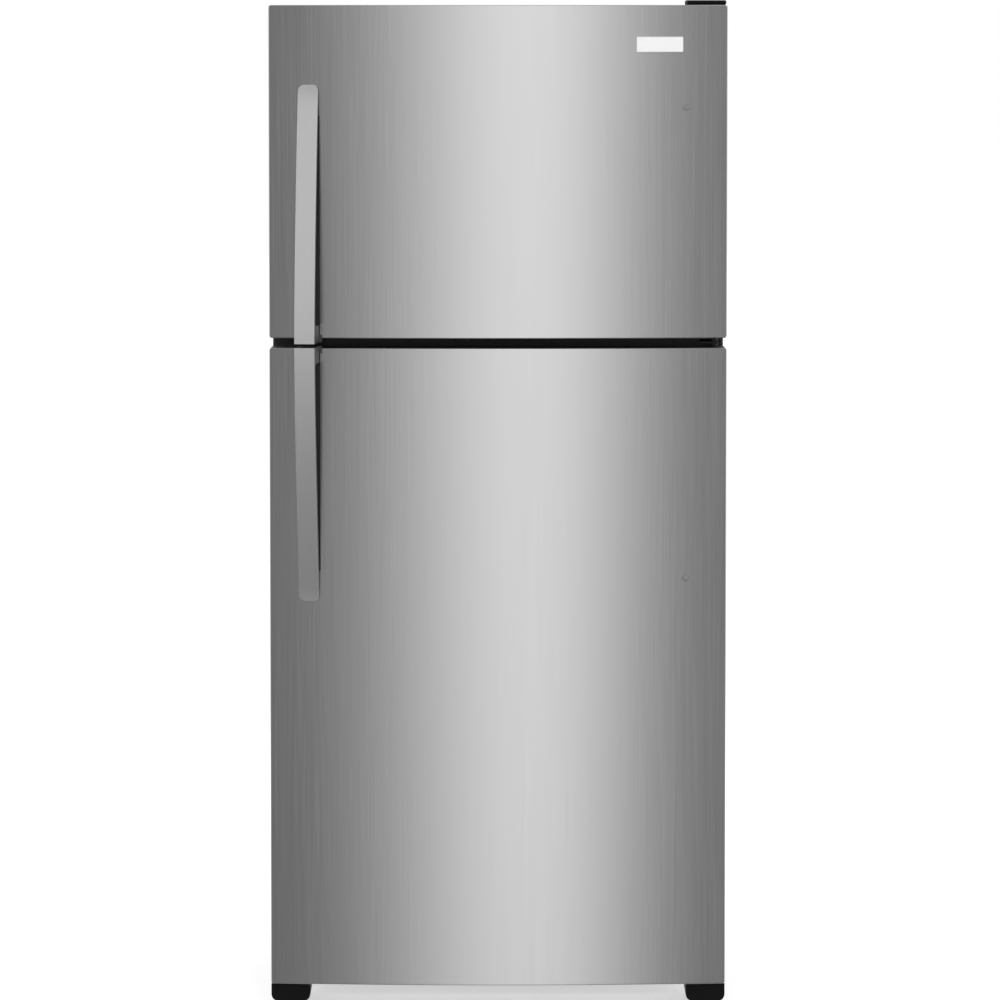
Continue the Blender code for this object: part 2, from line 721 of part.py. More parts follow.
def build_hinges(body):
    """Top, centre and bottom hinges, and the cover over the top one."""
    left, right = HINGE_X - HINGE_ARM_SIDE, HALF_CABINET - HINGE_ARM_END
    front = HINGE_Y - HINGE_ARM_FRONT
    door_top = FREEZER_DOOR[1]
    base = CABINET_TOP + SEAM
    arm = door_top + HINGE_ARM_LIFT
    step = CABINET_FRONT - DOOR_SPACE / 2
    side = [
        (front, arm),
        (step, arm),
        (step, base),
        (CABINET_FRONT + HINGE_ARM_REACH, base),
        (CABINET_FRONT + HINGE_ARM_REACH, base + HINGE_PLATE),
        (step + HINGE_PLATE, base + HINGE_PLATE),
        (step + HINGE_PLATE, arm + HINGE_PLATE),
        (front, arm + HINGE_PLATE),
    ]
    top = prism("top_hinge", side, "X", left, right)
    join(top, hinge_pin("top_pin", arm + HINGE_PLATE / 2, door_top - PIN_REACH))
    finish(top, ZINC, body)

    cover_top = door_top + HINGE_COVER_TOP
    cover_low, cover_high = HINGE_X - HINGE_COVER_LEFT, HINGE_X + HINGE_COVER_RIGHT
    cover_front, cover_back = front - HINGE_ARM_END, CABINET_FRONT + HINGE_COVER_REACH
    outside = [
        (cover_front, door_top + 0.0005),
        (step - 0.002, door_top + 0.0005),
        (step - 0.002, base),
        (cover_back, base),
        (cover_back, cover_top),
        (cover_front, cover_top),
    ]
    cover = soften(prism("top_hinge_cover", outside, "X", cover_low, cover_high), HINGE_COVER_ROUND, 3)
    hollow_low = (cover_low + HINGE_COVER_WALL, cover_front + HINGE_COVER_WALL, base - OVERSHOOT)
    hollow_high = tuple(end - HINGE_COVER_WALL for end in (cover_high, cover_back, cover_top))
    finish(cut(cover, box("hinge_cover_inside", hollow_low, hollow_high)), BLACK, body)

    middle = (FREEZER_DOOR[0] + FRIDGE_DOOR[1]) / 2
    plate_low = (left, front, middle - HINGE_PLATE / 2)
    plate_high = (right, CABINET_FRONT - SEAM, middle + HINGE_PLATE / 2)
    centre = soften(box("center_hinge", plate_low, plate_high), SMALL_ROUND, 2)
    tab_bottom = middle - DOOR_GAP / 2 + RUNNING
    tab_low = (HINGE_X - CENTER_TAB_WIDTH, CABINET_FRONT - SEAM - HINGE_PLATE, tab_bottom)
    tab_high = (right, CABINET_FRONT - SEAM, middle + DOOR_GAP / 2 - RUNNING)
    join(
        centre,
        box("center_hinge_tab", tab_low, tab_high),
        hinge_pin("center_pin", FRIDGE_DOOR[1] - PIN_REACH, FREEZER_DOOR[0] + PIN_REACH),
        rod(
            "center_washer",
            PIN_RADIUS * 1.6,
            (HINGE_X, HINGE_Y, FRIDGE_DOOR[1] + RUNNING),
            (HINGE_X, HINGE_Y, FREEZER_DOOR[0] - RUNNING),
        ),
    )
    finish(centre, BLACK_STEEL, body)

    low = (RAIL_OFFSET + LEG_PAD + RUNNING, front, HINGE_PLATE_TOP - HINGE_PLATE)
    high = (right, CROSSBAR_FRONT + CROSSBAR_DEPTH, HINGE_PLATE_TOP)
    bottom = box("bottom_hinge", low, high)
    join(bottom, hinge_pin("bottom_pin", HINGE_PLATE_TOP - HINGE_PLATE / 2, FRIDGE_DOOR[0] + PIN_REACH))
    finish(bottom, ZINC, body)


# ---------------------------------------------------------------- doors


def build_door(name, span, body, dyke_span, gasket_span):
    """One door: steel skin, foam core, end caps, inner panel and gasket."""
    low, high = span
    outside = soften(prism(name + "_panel", door_plan(0, DOOR_BACK), "Z", low, high), DOOR_EDGE_ROUND)
    face = rounded_outline((-HALF_DOOR, low), (HALF_DOOR, high), DOOR_CORNER)
    boolean(
        outside,
        prism(name + "_corners", face, "Y", DOOR_FRONT - OVERSHOOT, DOOR_BACK + OVERSHOOT),
        "INTERSECT",
    )
    hollow = door_plan(DOOR_SKIN, DOOR_BACK + OVERSHOOT)
    cut(outside, prism(name + "_hollow", hollow, "Z", low - OVERSHOOT, high + OVERSHOOT))
    finish(outside, STEEL, body)

    core = door_plan(DOOR_SKIN + SEAM, PLATE_FRONT - SEAM)
    cap_low, cap_high = low + CAP_HEIGHT, high - CAP_HEIGHT
    finish(
        prism(name + "_insulation", core, "Z", cap_low + SEAM, cap_high - SEAM), FOAM, body
    )
    for part, start, end in (("bottom_cap", low, cap_low), ("top_cap", cap_high, high)):
        first = start + (CAP_INSET if part == "bottom_cap" else 0)
        last = end - (CAP_INSET if part == "top_cap" else 0)
        cap = prism(f"{name}_{part}", core, "Z", first, last)
        bore_low = (HINGE_X, HINGE_Y, start - OVERSHOOT)
        bore_high = (HINGE_X, HINGE_Y, end + OVERSHOOT)
        bore = rod(f"{name}_{part}_bore", PIN_RADIUS + PIN_CLEARANCE, bore_low, bore_high, 12)
        finish(cut(cap, bore), GREY, body)

    half = HALF_DOOR - DOOR_SKIN - SEAM
    liner = box(name + "_liner", (-half, PLATE_FRONT, low + EDGE_ROUND), (half, DOOR_BACK, high - EDGE_ROUND))
    dyke_back = CABINET_FRONT + DYKE_REACH
    dyke_low = (-DYKE_HALF, DOOR_BACK - LINER_WALL / 2, dyke_span[0])
    dyke_high = (DYKE_HALF, dyke_back, dyke_span[1])
    join(liner, soften(box(name + "_dyke", dyke_low, dyke_high), DYKE_ROUND, 3))
    well_low = (-DYKE_HALF + DYKE_THICK, DOOR_BACK, dyke_span[0] + DYKE_THICK)
    well_high = (DYKE_HALF - DYKE_THICK, dyke_back + OVERSHOOT, dyke_span[1] - DYKE_THICK)
    finish(cut(liner, box(name + "_well", well_low, well_high)), WHITE, body)

    ring_half = HALF_DOOR - GASKET_SIDE
    ring_back = CABINET_FRONT - GASKET_GAP
    ring_low = (-ring_half, DOOR_BACK + SEAM, gasket_span[0])
    ring_high = (ring_half, ring_back, gasket_span[1])
    ring = soften(box(name + "_gasket", ring_low, ring_high), TRAY_ROUND, 2)
    hole_low = (-ring_half + GASKET_WIDTH, DOOR_BACK - OVERSHOOT, gasket_span[0] + GASKET_WIDTH)
    hole_high = (ring_half - GASKET_WIDTH, ring_back + OVERSHOOT, gasket_span[1] - GASKET_WIDTH)
    finish(cut(ring, box(name + "_gasket_hole", hole_low, hole_high)), VINYL, body)


def build_handle(name, near, far, body):
    """A door handle whose post stands at the near end and whose bar meets the door at the far end."""
    span = far - near
    outer, inner = [], []
    for step in range(HANDLE_STEPS + 1):
        share = step / HANDLE_STEPS
        lift = 1 - (1 - share) ** HANDLE_FLARE
        stand = HANDLE_TIP + (HANDLE_STAND - HANDLE_TIP) * lift
        height = far - span * share
        outer.append((-stand, height))
        post_share = 1 - HANDLE_POST / abs(span)
        if share <= post_share:
            inner.append((-max(stand - HANDLE_BAR, SEAM), height))
    post_height = near + math.copysign(HANDLE_POST, span)
    inner.append((inner[-1][0], post_height))
    touching = [point for point in inner if point[0] < -SEAM - 0.0001]
    outline = [*outer, (-SEAM, near), (-SEAM, post_height), *reversed(touching)]
    first_touch = len(inner) - len(touching)
    outline += [(-SEAM, inner[max(first_touch - 1, 0)][1]), (-SEAM, far)]
    made = prism(name, outline, "X", -HANDLE_WIDTH / 2, HANDLE_WIDTH / 2)
    made.location = (-HANDLE_OFFSET, arc_y(-HANDLE_OFFSET), 0)
    made.rotation_euler = (0, 0, on_door(-HANDLE_OFFSET))
    finish(soften(made, HANDLE_ROUND), STEEL, body)


def build_plug(name, height, body):
    """The small domed plug in an unused handle screw hole."""
    crown = [
        (PLUG_RADIUS * math.sin(math.radians(a)), PLUG_HEIGHT * math.cos(math.radians(a)))
        for a in range(0, 91, 18)
    ]
    turn = on_door(PLUG_OFFSET)
    outward = Vector((math.sin(turn), -math.cos(turn), 0))
    place = Vector((PLUG_OFFSET, arc_y(PLUG_OFFSET), height)) + outward * SEAM
    finish(turned(name, [*crown, (0, 0)], place, outward, 14), GREY, body, smooth=True)


def build_badge(body):
    """The blank plate near the top corner of the upper door."""
    left, right = BADGE_MIDDLE[0] - BADGE_SIZE[0] / 2, BADGE_MIDDLE[0] + BADGE_SIZE[0] / 2
    back = door_arc(left, right, -SEAM, 6)
    front = door_arc(left, right, -SEAM - BADGE_THICK, 6)
    low, high = BADGE_MIDDLE[1] - BADGE_SIZE[1] / 2, BADGE_MIDDLE[1] + BADGE_SIZE[1] / 2
    finish(soften(prism("badge", back + front[::-1], "Z", low, high), 0.0006), ALUMINIUM, body)


def build_bin(name, floor, body):
    """A door bin that hangs between the sides of the inner door panel."""
    low = (-BIN_HALF, DOOR_BACK + SEAM, floor)
    high = (BIN_HALF, BIN_BACK, floor + BIN_HEIGHT)
    finish(open_tray(name, low, high, BIN_WALL), CLEAR, body)


def build_dairy_box(door_body, flap_body):
    """The covered compartment at the top of the lower door, and its flap."""
    top = DAIRY_FLOOR + DAIRY_HEIGHT
    low = (-BIN_HALF, DOOR_BACK + SEAM, DAIRY_FLOOR)
    high = (BIN_HALF, DAIRY_BACK, top)
    made = soften(box("dairy_box", low, high), TRAY_ROUND, 2)
    inner_low = (-BIN_HALF + BIN_WALL, low[1] + BIN_WALL, DAIRY_FLOOR + BIN_WALL)
    inner_high = (BIN_HALF - BIN_WALL, DAIRY_BACK + OVERSHOOT, top - BIN_WALL)
    finish(cut(made, box("dairy_inside", inner_low, inner_high)), CLEAR, door_body)

    flap_front = DAIRY_BACK + RUNNING / 2
    flap_low = (-BIN_HALF + RUNNING, flap_front, DAIRY_FLOOR + RUNNING)
    flap_high = (BIN_HALF - RUNNING, flap_front + FLAP_THICK, top)
    flap = soften(box("dairy_flap", flap_low, flap_high), SMALL_ROUND)
    grip_low = (-GRIP_HALF, flap_front + FLAP_THICK / 2, DAIRY_FLOOR + GRIP_HEIGHTS[0])
    grip_high = (GRIP_HALF, flap_front + FLAP_THICK + GRIP_REACH, DAIRY_FLOOR + GRIP_HEIGHTS[1])
    finish(join(flap, box("dairy_flap_grip", grip_low, grip_high)), CLEAR, flap_body)


# ---------------------------------------------------------------- inside the compartments


def build_shelves(body):
    """Glass shelves, the crisper cover and the slotted freezer shelf."""
    half = CAVITY_HALF - RUNNING
    back = CAVITY_BACK - SHELF_BACK_GAP
    for name, height in zip(("shelf_lower", "shelf_upper"), FRIDGE_SHELVES):
        low, high = (-half, SHELF_FRONT, height), (half, back, height + SHELF_THICK)
        finish(soften(box(name, low, high), EDGE_ROUND), GLASS, body)
    low = (-half, SHELF_FRONT, CRISPER_COVER_HEIGHT)
    high = (half, back, CRISPER_COVER_HEIGHT + SHELF_THICK)
    finish(soften(box("crisper_cover", low, high), EDGE_ROUND), GLASS, body)

    low = (-half, SHELF_FRONT, FREEZER_SHELF_HEIGHT)
    high = (half, EVAPORATOR_FRONT - RUNNING, FREEZER_SHELF_HEIGHT + SHELF_THICK)
    shelf = soften(box("freezer_shelf", low, high), EDGE_ROUND)
    slots = 12
    pitch = 2 * (half - SLOT_INSET) / slots
    for index in range(slots):
        left = -half + SLOT_INSET + pitch * index + SLOT_SIDE
        slot_low = (left, low[1] + SLOT_END, low[2] - OVERSHOOT)
        slot_high = (left + pitch - 2 * SLOT_SIDE, high[1] - SLOT_END, high[2] + OVERSHOOT)
        cut(shelf, box(f"freezer_slot_{index}", slot_low, slot_high))
    finish(shelf, WHITE, body)


def build_drawer(name, side, body):
    """One crisper drawer, with a pull lip along its top front edge."""
    inner, outer = side * RUNNING * 2, side * (CAVITY_HALF - DRAWER_SIDE)
    low = (min(inner, outer), SHELF_FRONT, FRIDGE_FLOOR + DRAWER_LIFT)
    high = (max(inner, outer), HUMP_FRONT - DRAWER_SIDE, CRISPER_COVER_HEIGHT - DRAWER_HEADROOM)
    tray = open_tray(name, low, high, DRAWER_WALL, 0.006)
    middle, reach = (low[0] + high[0]) / 2, (high[0] - low[0]) * DRAWER_GRIP_SHARE
    lip_low = (middle - reach, SHELF_FRONT - DRAWER_LIP, high[2] - DRAWER_GRIP_DROPS[0])
    lip_high = (middle + reach, SHELF_FRONT + DRAWER_WALL / 2, high[2] - DRAWER_GRIP_DROPS[1])
    finish(join(tray, box(name + "_lip", lip_low, lip_high)), CLEAR, body)


def build_controls(body, dial_bodies, switch_body):
    """Control housing, lamp, the two temperature dials and the door-operated light switch."""
    width, depth, height = CONTROL_SIZE
    low = (-width / 2, CONTROL_FRONT, CONTROL_BOTTOM)
    high = (width / 2, CONTROL_FRONT + depth, CONTROL_BOTTOM + height)
    housing = soften(box("control_housing", low, high), TRAY_ROUND, 3)
    middle = CONTROL_BOTTOM + height / 2
    dial_back = CONTROL_FRONT - SEAM
    for name, side in (("fridge_dial", -1), ("freezer_dial", 1)):
        x = side * DIAL_SPACING / 2
        start, end = (x, dial_back, middle), (x, dial_back - DIAL_DEPTH * 0.5, middle)
        dial = soften(rod(name, DIAL_RADIUS, start, end, 24), 0.001, 1)
        grip_low = (x - DIAL_GRIP_HALF, dial_back - DIAL_DEPTH, middle - DIAL_RADIUS * 0.85)
        grip_high = (x + DIAL_GRIP_HALF, dial_back - DIAL_DEPTH * 0.4, middle + DIAL_RADIUS * 0.85)
        stem_start, stem_end = (x, dial_back - EDGE_ROUND, middle), (x, dial_back + STEM_LENGTH, middle)
        stem = rod(name + "_stem", STEM_RADIUS, stem_start, stem_end, 16)
        join(dial, soften(box(name + "_grip", grip_low, grip_high), 0.001, 1), stem)
        finish(dial, WHITE, dial_bodies[name])
        hole = rod(
            name + "_hole",
            STEM_RADIUS + PIN_CLEARANCE,
            (x, CONTROL_FRONT - OVERSHOOT, middle),
            (x, CONTROL_FRONT + STEM_LENGTH + 0.001, middle),
            16,
        )
        cut(housing, hole)
    finish(housing, WHITE, body)

    lamp_middle = CONTROL_FRONT + depth / 2
    lamp_low = (-LAMP_SIZE[0] / 2, lamp_middle - LAMP_SIZE[1] / 2, CONTROL_BOTTOM - SEAM - LAMP_SIZE[2])
    lamp_high = (LAMP_SIZE[0] / 2, lamp_middle + LAMP_SIZE[1] / 2, CONTROL_BOTTOM - SEAM)
    finish(soften(box("lamp", lamp_low, lamp_high), TRAY_ROUND, 3), GLASS, body)

    tip = DOOR_BACK + GASKET_GAP
    height = FRIDGE_CEILING + SWITCH_RISE
    place = (SWITCH_OFFSET, tip, height)
    profile = [(0, SWITCH_LENGTH), (SWITCH_RADIUS, SWITCH_LENGTH), (SWITCH_RADIUS, 0.002)]
    profile += [(SWITCH_RADIUS * 0.7, 0.0005), (0, 0)]
    finish(turned("light_switch", profile, place, (0, 1, 0), 14), WHITE, switch_body, smooth=True)


def build_evaporator(body, fan_body):
    """Finned coil, fan and motor behind the upper compartment's back cover."""
    width, depth, height = EVAPORATOR_SIZE
    front = EVAPORATOR_FRONT + EVAPORATOR_STANDOFF
    low = (-width / 2, front, FREEZER_FLOOR + EVAPORATOR_RISE)
    high = (width / 2, front + depth, FREEZER_FLOOR + EVAPORATOR_RISE + height)
    coil = box("evaporator_coil", low, high)
    pitch = (width - FIN_THICK) / FIN_COUNT
    for index in range(FIN_COUNT):
        left = -width / 2 + FIN_THICK + pitch * index
        slot_low = (left, front - OVERSHOOT, low[2] - OVERSHOOT)
        slot_high = (left + pitch - FIN_THICK, front + depth * 0.7, high[2] + OVERSHOOT)
        cut(coil, box(f"fin_gap_{index}", slot_low, slot_high))
    finish(coil, ALUMINIUM, body)

    fan_place = (0, EVAPORATOR_FRONT + FAN_STANDOFF, EVAPORATOR_FAN_HEIGHT)
    blades = fan_blades("evaporator_fan_blade", fan_place, EVAPORATOR_FAN_RADIUS, (0, 1, 0))
    finish(blades, GREY, fan_body)
    strap_half, strap_rise = MOTOR_STRAP_HALF
    plate_low = (-strap_half, CAVITY_BACK - 0.0055, EVAPORATOR_FAN_HEIGHT - strap_rise)
    plate_high = (strap_half, CAVITY_BACK - 0.0025, EVAPORATOR_FAN_HEIGHT + strap_rise)
    motor = fan_motor(
        "evaporator_fan_motor", fan_place, (0, 1, 0), EVAPORATOR_MOTOR_LENGTH, plate_low, plate_high
    )
    finish(motor, BLACK, body)

    half = CAVITY_HALF - SEAM * 2
    low = (-half, EVAPORATOR_FRONT, FREEZER_FLOOR + SEAM * 2)
    high = (half, CAVITY_BACK - SEAM * 2, FREEZER_CEILING - SEAM * 2)
    cover = box("evaporator_cover", low, high)
    wall = LINER_WALL
    hollow_low = (-half + wall, EVAPORATOR_FRONT + wall, low[2] + wall)
    hollow_high = (half - wall, CAVITY_BACK + OVERSHOOT, high[2] - wall)
    cut(cover, box("evaporator_hollow", hollow_low, hollow_high))
    hole_start = (0, EVAPORATOR_FRONT - OVERSHOOT, EVAPORATOR_FAN_HEIGHT)
    hole_end = (0, EVAPORATOR_FRONT + wall * 2, EVAPORATOR_FAN_HEIGHT)
    hole_radius = EVAPORATOR_FAN_RADIUS + FAN_HOLE_CLEARANCE
    cut(cover, rod("evaporator_fan_hole", hole_radius, hole_start, hole_end, 32))
    for index in range(5):
        left = RETURN_SLOT_START + RETURN_SLOT_PITCH * index
        slot_low = (left, EVAPORATOR_FRONT - OVERSHOOT, FREEZER_FLOOR + EVAPORATOR_RISE)
        slot_top = FREEZER_FLOOR + EVAPORATOR_RISE + RETURN_SLOT[1]
        slot_high = (left + RETURN_SLOT[0], EVAPORATOR_FRONT + wall * 2, slot_top)
        cut(cover, box(f"return_slot_{index}", slot_low, slot_high))
    finish(cover, WHITE, body)


# ---------------------------------------------------------------- machine compartment


def build_machine(body, fan_body):
    """Compressor, condenser, fan and the slotted rear cover."""
    base = RAIL_TOP + SEAM
    dome_low = base + SHELL_LIFT
    lower, upper = (COMPRESSOR_RADIUS * share for share in SHELL_SHARES)
    crown = COMPRESSOR_HEIGHT
    profile = [(0, crown), (upper * 0.55, crown - 0.004), (upper * 0.86, crown - 0.016)]
    profile += [(upper, crown - 0.036), (upper, 0.086), (COMPRESSOR_RADIUS, 0.080)]
    profile += [(COMPRESSOR_RADIUS, 0.074), (lower, 0.070), (lower, 0.024), (lower * 0.8, 0.006), (0, 0)]
    place = (COMPRESSOR_OFFSET, COMPRESSOR_Y, dome_low)
    compressor = turned("compressor", profile, place)
    plate_x, plate_y = FOOT_PLATE_HALF
    plate_low = (COMPRESSOR_OFFSET - plate_x, COMPRESSOR_Y - plate_y, base + FOOT_PLATE_LEVELS[0])
    plate_high = (COMPRESSOR_OFFSET + plate_x, COMPRESSOR_Y + plate_y, base + FOOT_PLATE_LEVELS[1])
    join(compressor, box("compressor_plate", plate_low, plate_high))
    for dx in (-GROMMET_PLACES[0], GROMMET_PLACES[0]):
        for dy in (-GROMMET_PLACES[1], GROMMET_PLACES[1]):
            x, y = COMPRESSOR_OFFSET + dx, COMPRESSOR_Y + dy
            top = (x, y, base + GROMMET_HEIGHT)
            join(compressor, rod(f"grommet_{dx}_{dy}", GROMMET_RADIUS, (x, y, base), top, 10))
    finish(compressor, BLACK_STEEL, body, smooth=True)

    finish(condenser(), BLACK_STEEL, body, smooth=True)

    fan_height = CONDENSER_FAN_HEIGHT
    fan_place = (CONDENSER_FAN_OFFSET, COMPRESSOR_Y, fan_height)
    finish(
        fan_blades("condenser_fan_blade", fan_place, CONDENSER_FAN_RADIUS, (1, 0, 0)), GREY, fan_body
    )
    plate_low = (CONDENSER_FAN_OFFSET + 0.036, COMPRESSOR_Y - 0.014, base)
    plate_high = (CONDENSER_FAN_OFFSET + 0.039, COMPRESSOR_Y + 0.014, fan_height + 0.025)
    motor = fan_motor(
        "condenser_fan_motor", fan_place, (1, 0, 0), CONDENSER_MOTOR_LENGTH, plate_low, plate_high
    )
    finish(motor, BLACK, body)

    half = HALF_CABINET - SHEET - SEAM
    low = (-half, CABINET_BACK - 0.002, CABINET_BOTTOM + SHEET)
    high = (half, CABINET_BACK, MACHINE_TOP)
    cover = box("rear_access_cover", low, high)
    for row in range(3):
        for column in range(7):
            left = -half + COVER_MARGIN + column * 2 * (half - COVER_MARGIN) / 7
            bottom = CABINET_BOTTOM + (row + 1) * COVER_SLOT_RISE
            slot_low = (left + COVER_SLOT_STARTS[0], CABINET_BACK - OVERSHOOT, bottom)
            slot_high = (left + COVER_SLOT_STARTS[1], CABINET_BACK + OVERSHOOT, bottom + COVER_SLOT_HEIGHT)
            cut(cover, box(f"vent_{row}_{column}", slot_low, slot_high))
    finish(cover, BOARD, body)


def condenser():
    """The condenser: one tube folded back and forth in layers."""
    points = []
    bend = CONDENSER_PITCH / 2
    bottom = RAIL_TOP + 0.020
    for layer in range(CONDENSER_LAYERS):
        y = COMPRESSOR_Y + (layer - (CONDENSER_LAYERS - 1) / 2) * CONDENSER_PITCH
        passes = range(CONDENSER_PASSES)
        heights = [bottom + CONDENSER_PITCH * i for i in (passes if layer % 2 == 0 else reversed(passes))]
        rising = 1 if layer % 2 == 0 else -1
        for index, height in enumerate(heights):
            count = layer * CONDENSER_PASSES + index
            forward = count % 2 == 0
            start, end = (CONDENSER_LEFT, CONDENSER_RIGHT) if forward else (CONDENSER_RIGHT, CONDENSER_LEFT)
            points += [(start, y, height), (end, y, height)]
            outward = 1 if forward else -1
            if index < CONDENSER_PASSES - 1:
                points += [
                    (end + outward * bend * math.sin(a), y, height + rising * bend * (1 - math.cos(a)))
                    for a in (math.pi / 4, math.pi / 2, 3 * math.pi / 4)
                ]
            elif layer < CONDENSER_LAYERS - 1:
                points += [
                    (end + outward * bend * math.sin(a), y + bend * (1 - math.cos(a)), height)
                    for a in (math.pi / 4, math.pi / 2, 3 * math.pi / 4)
                ]
    return tube("condenser_coil", points, CONDENSER_TUBE)


# ---------------------------------------------------------------- base


def build_base(body, leg_bodies, roller_bodies):
    """Base frame, levelling legs, rear rollers and front foot covers."""
    frame = box(
        "base_frame",
        (-HALF_CABINET + 0.012, CROSSBAR_FRONT, CROSSBAR_BOTTOM),
        (HALF_CABINET - 0.012, CROSSBAR_FRONT + CROSSBAR_DEPTH, RAIL_TOP),
    )
    deck_half = HALF_CABINET - SHEET - SEAM
    deck_front, deck_back = MACHINE_FRONT + RUNNING, CABINET_BACK - 0.006
    deck_low = (-deck_half, deck_front, RAIL_TOP - RAIL_SHEET)
    join(frame, box("machine_deck", deck_low, (deck_half, deck_back, RAIL_TOP)))
    bar_end = CROSSBAR_FRONT + CROSSBAR_DEPTH / 2
    for side, name in ((-1, "left"), (1, "right")):
        x = side * RAIL_OFFSET
        half = RAIL_WIDTH / 2
        rail_low = (x - half, bar_end, RAIL_TOP - RAIL_SHEET)
        join(frame, box(f"rail_{name}", rail_low, (x + half, deck_back - 0.010, RAIL_TOP - 0.0005)))
        a, b = sorted((side * deck_half, side * (deck_half - 0.003)))
        gusset_low = (a, deck_front, RAIL_TOP - RAIL_SHEET / 2)
        join(frame, box(f"gusset_{name}", gusset_low, (b, deck_back, MACHINE_TOP - RUNNING)))
        for cheek in (-1, 1):
            a, b = sorted((x + cheek * half, x + cheek * (half - RAIL_SHEET)))
            cheek_low = (a, ROLLER_Y - 0.020, ROLLER_RADIUS - 0.008)
            cheek_high = (b, ROLLER_Y + 0.020, RAIL_TOP - RAIL_SHEET / 2)
            join(frame, box(f"cheek_{name}_{cheek}", cheek_low, cheek_high))
        axle_start = (x - half + RAIL_SHEET / 2, ROLLER_Y, ROLLER_RADIUS)
        axle_end = (x + half - RAIL_SHEET / 2, ROLLER_Y, ROLLER_RADIUS)
        join(frame, rod(f"axle_{name}", AXLE_RADIUS, axle_start, axle_end, 16))
        bore_radius = LEG_RADIUS + PIN_CLEARANCE
        bore_start, bore_end = (x, LEG_Y, CROSSBAR_BOTTOM - OVERSHOOT), (x, LEG_Y, RAIL_TOP - 0.001)
        cut(frame, rod(f"leg_bore_{name}", bore_radius, bore_start, bore_end, 16))

        leg = soften(rod(f"leveling_leg_{name}", LEG_PAD, (x, LEG_Y, 0), (x, LEG_Y, LEG_PAD_HEIGHT)), 0.001)
        hex_start, hex_end = (x, LEG_Y, LEG_PAD_HEIGHT - 0.001), (x, LEG_Y, LEG_PAD_HEIGHT + 0.006)
        stem_start, stem_end = (x, LEG_Y, LEG_PAD_HEIGHT), (x, LEG_Y, RAIL_TOP - 0.0025)
        join(
            leg,
            rod(f"leg_hex_{name}", 0.0085, hex_start, hex_end, 6),
            rod(f"leg_stem_{name}", LEG_RADIUS, stem_start, stem_end, 16),
        )
        finish(leg, ZINC, leg_bodies[name])

        left, right = x - ROLLER_WIDTH / 2, x + ROLLER_WIDTH / 2
        roller = rod(
            f"rear_roller_{name}",
            ROLLER_RADIUS,
            (left, ROLLER_Y, ROLLER_RADIUS),
            (right, ROLLER_Y, ROLLER_RADIUS),
            28,
        )
        hole_start = (left - OVERSHOOT, ROLLER_Y, ROLLER_RADIUS)
        hole_end = (right + OVERSHOOT, ROLLER_Y, ROLLER_RADIUS)
        hole = rod(f"roller_bore_{name}", AXLE_RADIUS + PIN_CLEARANCE, hole_start, hole_end, 16)
        finish(cut(soften(roller, 0.0012, 1), hole), BLACK, roller_bodies[name])
        build_foot_cover(name, side, body)
    finish(frame, BLACK_STEEL, body)


def build_foot_cover(name, side, body):
    """The tub-shaped cover round one levelling leg, open above and with a hole for the leg's pad."""
    inner, outer = side * (FOOT_OUTER - FOOT_WIDTH), side * FOOT_OUTER
    left, right = min(inner, outer), max(inner, outer)
    full = rounded_outline((left, FOOT_LIFT), (right, FOOT_TOP + 2 * FOOT_ROUND), FOOT_ROUND, 6)
    made = prism(f"foot_cover_{name}", full, "Y", FOOT_FRONT, FOOT_BACK)
    inside = rounded_outline(
        (left + FOOT_WALL, FOOT_LIFT + FOOT_WALL),
        (right - FOOT_WALL, FOOT_TOP + 3 * FOOT_ROUND),
        FOOT_ROUND - FOOT_WALL,
        6,
    )
    cut(
        made,
        prism(f"foot_inside_{name}", inside, "Y", FOOT_FRONT + FOOT_WALL, FOOT_BACK + OVERSHOOT),
        box(
            f"foot_open_{name}",
            (left - OVERSHOOT, FOOT_FRONT - OVERSHOOT, FOOT_TOP),
            (right + OVERSHOOT, FOOT_BACK + OVERSHOOT, FOOT_TOP + OVERSHOOT * 3),
        ),
        rod(
            f"foot_hole_{name}",
            LEG_PAD + RUNNING,
            (side * RAIL_OFFSET, LEG_Y, -OVERSHOOT),
            (side * RAIL_OFFSET, LEG_Y, LEG_PAD_HEIGHT + FOOT_ROUND),
        ),
        box(
            f"foot_bar_{name}",
            (left - OVERSHOOT, CROSSBAR_FRONT - SEAM, HINGE_PLATE_TOP - HINGE_PLATE - SEAM * 2),
            (right + OVERSHOOT, FOOT_BACK + OVERSHOOT, FOOT_TOP + OVERSHOOT),
        ),
    )
    finish(made, BLACK, body)


# ---------------------------------------------------------------- the whole appliance


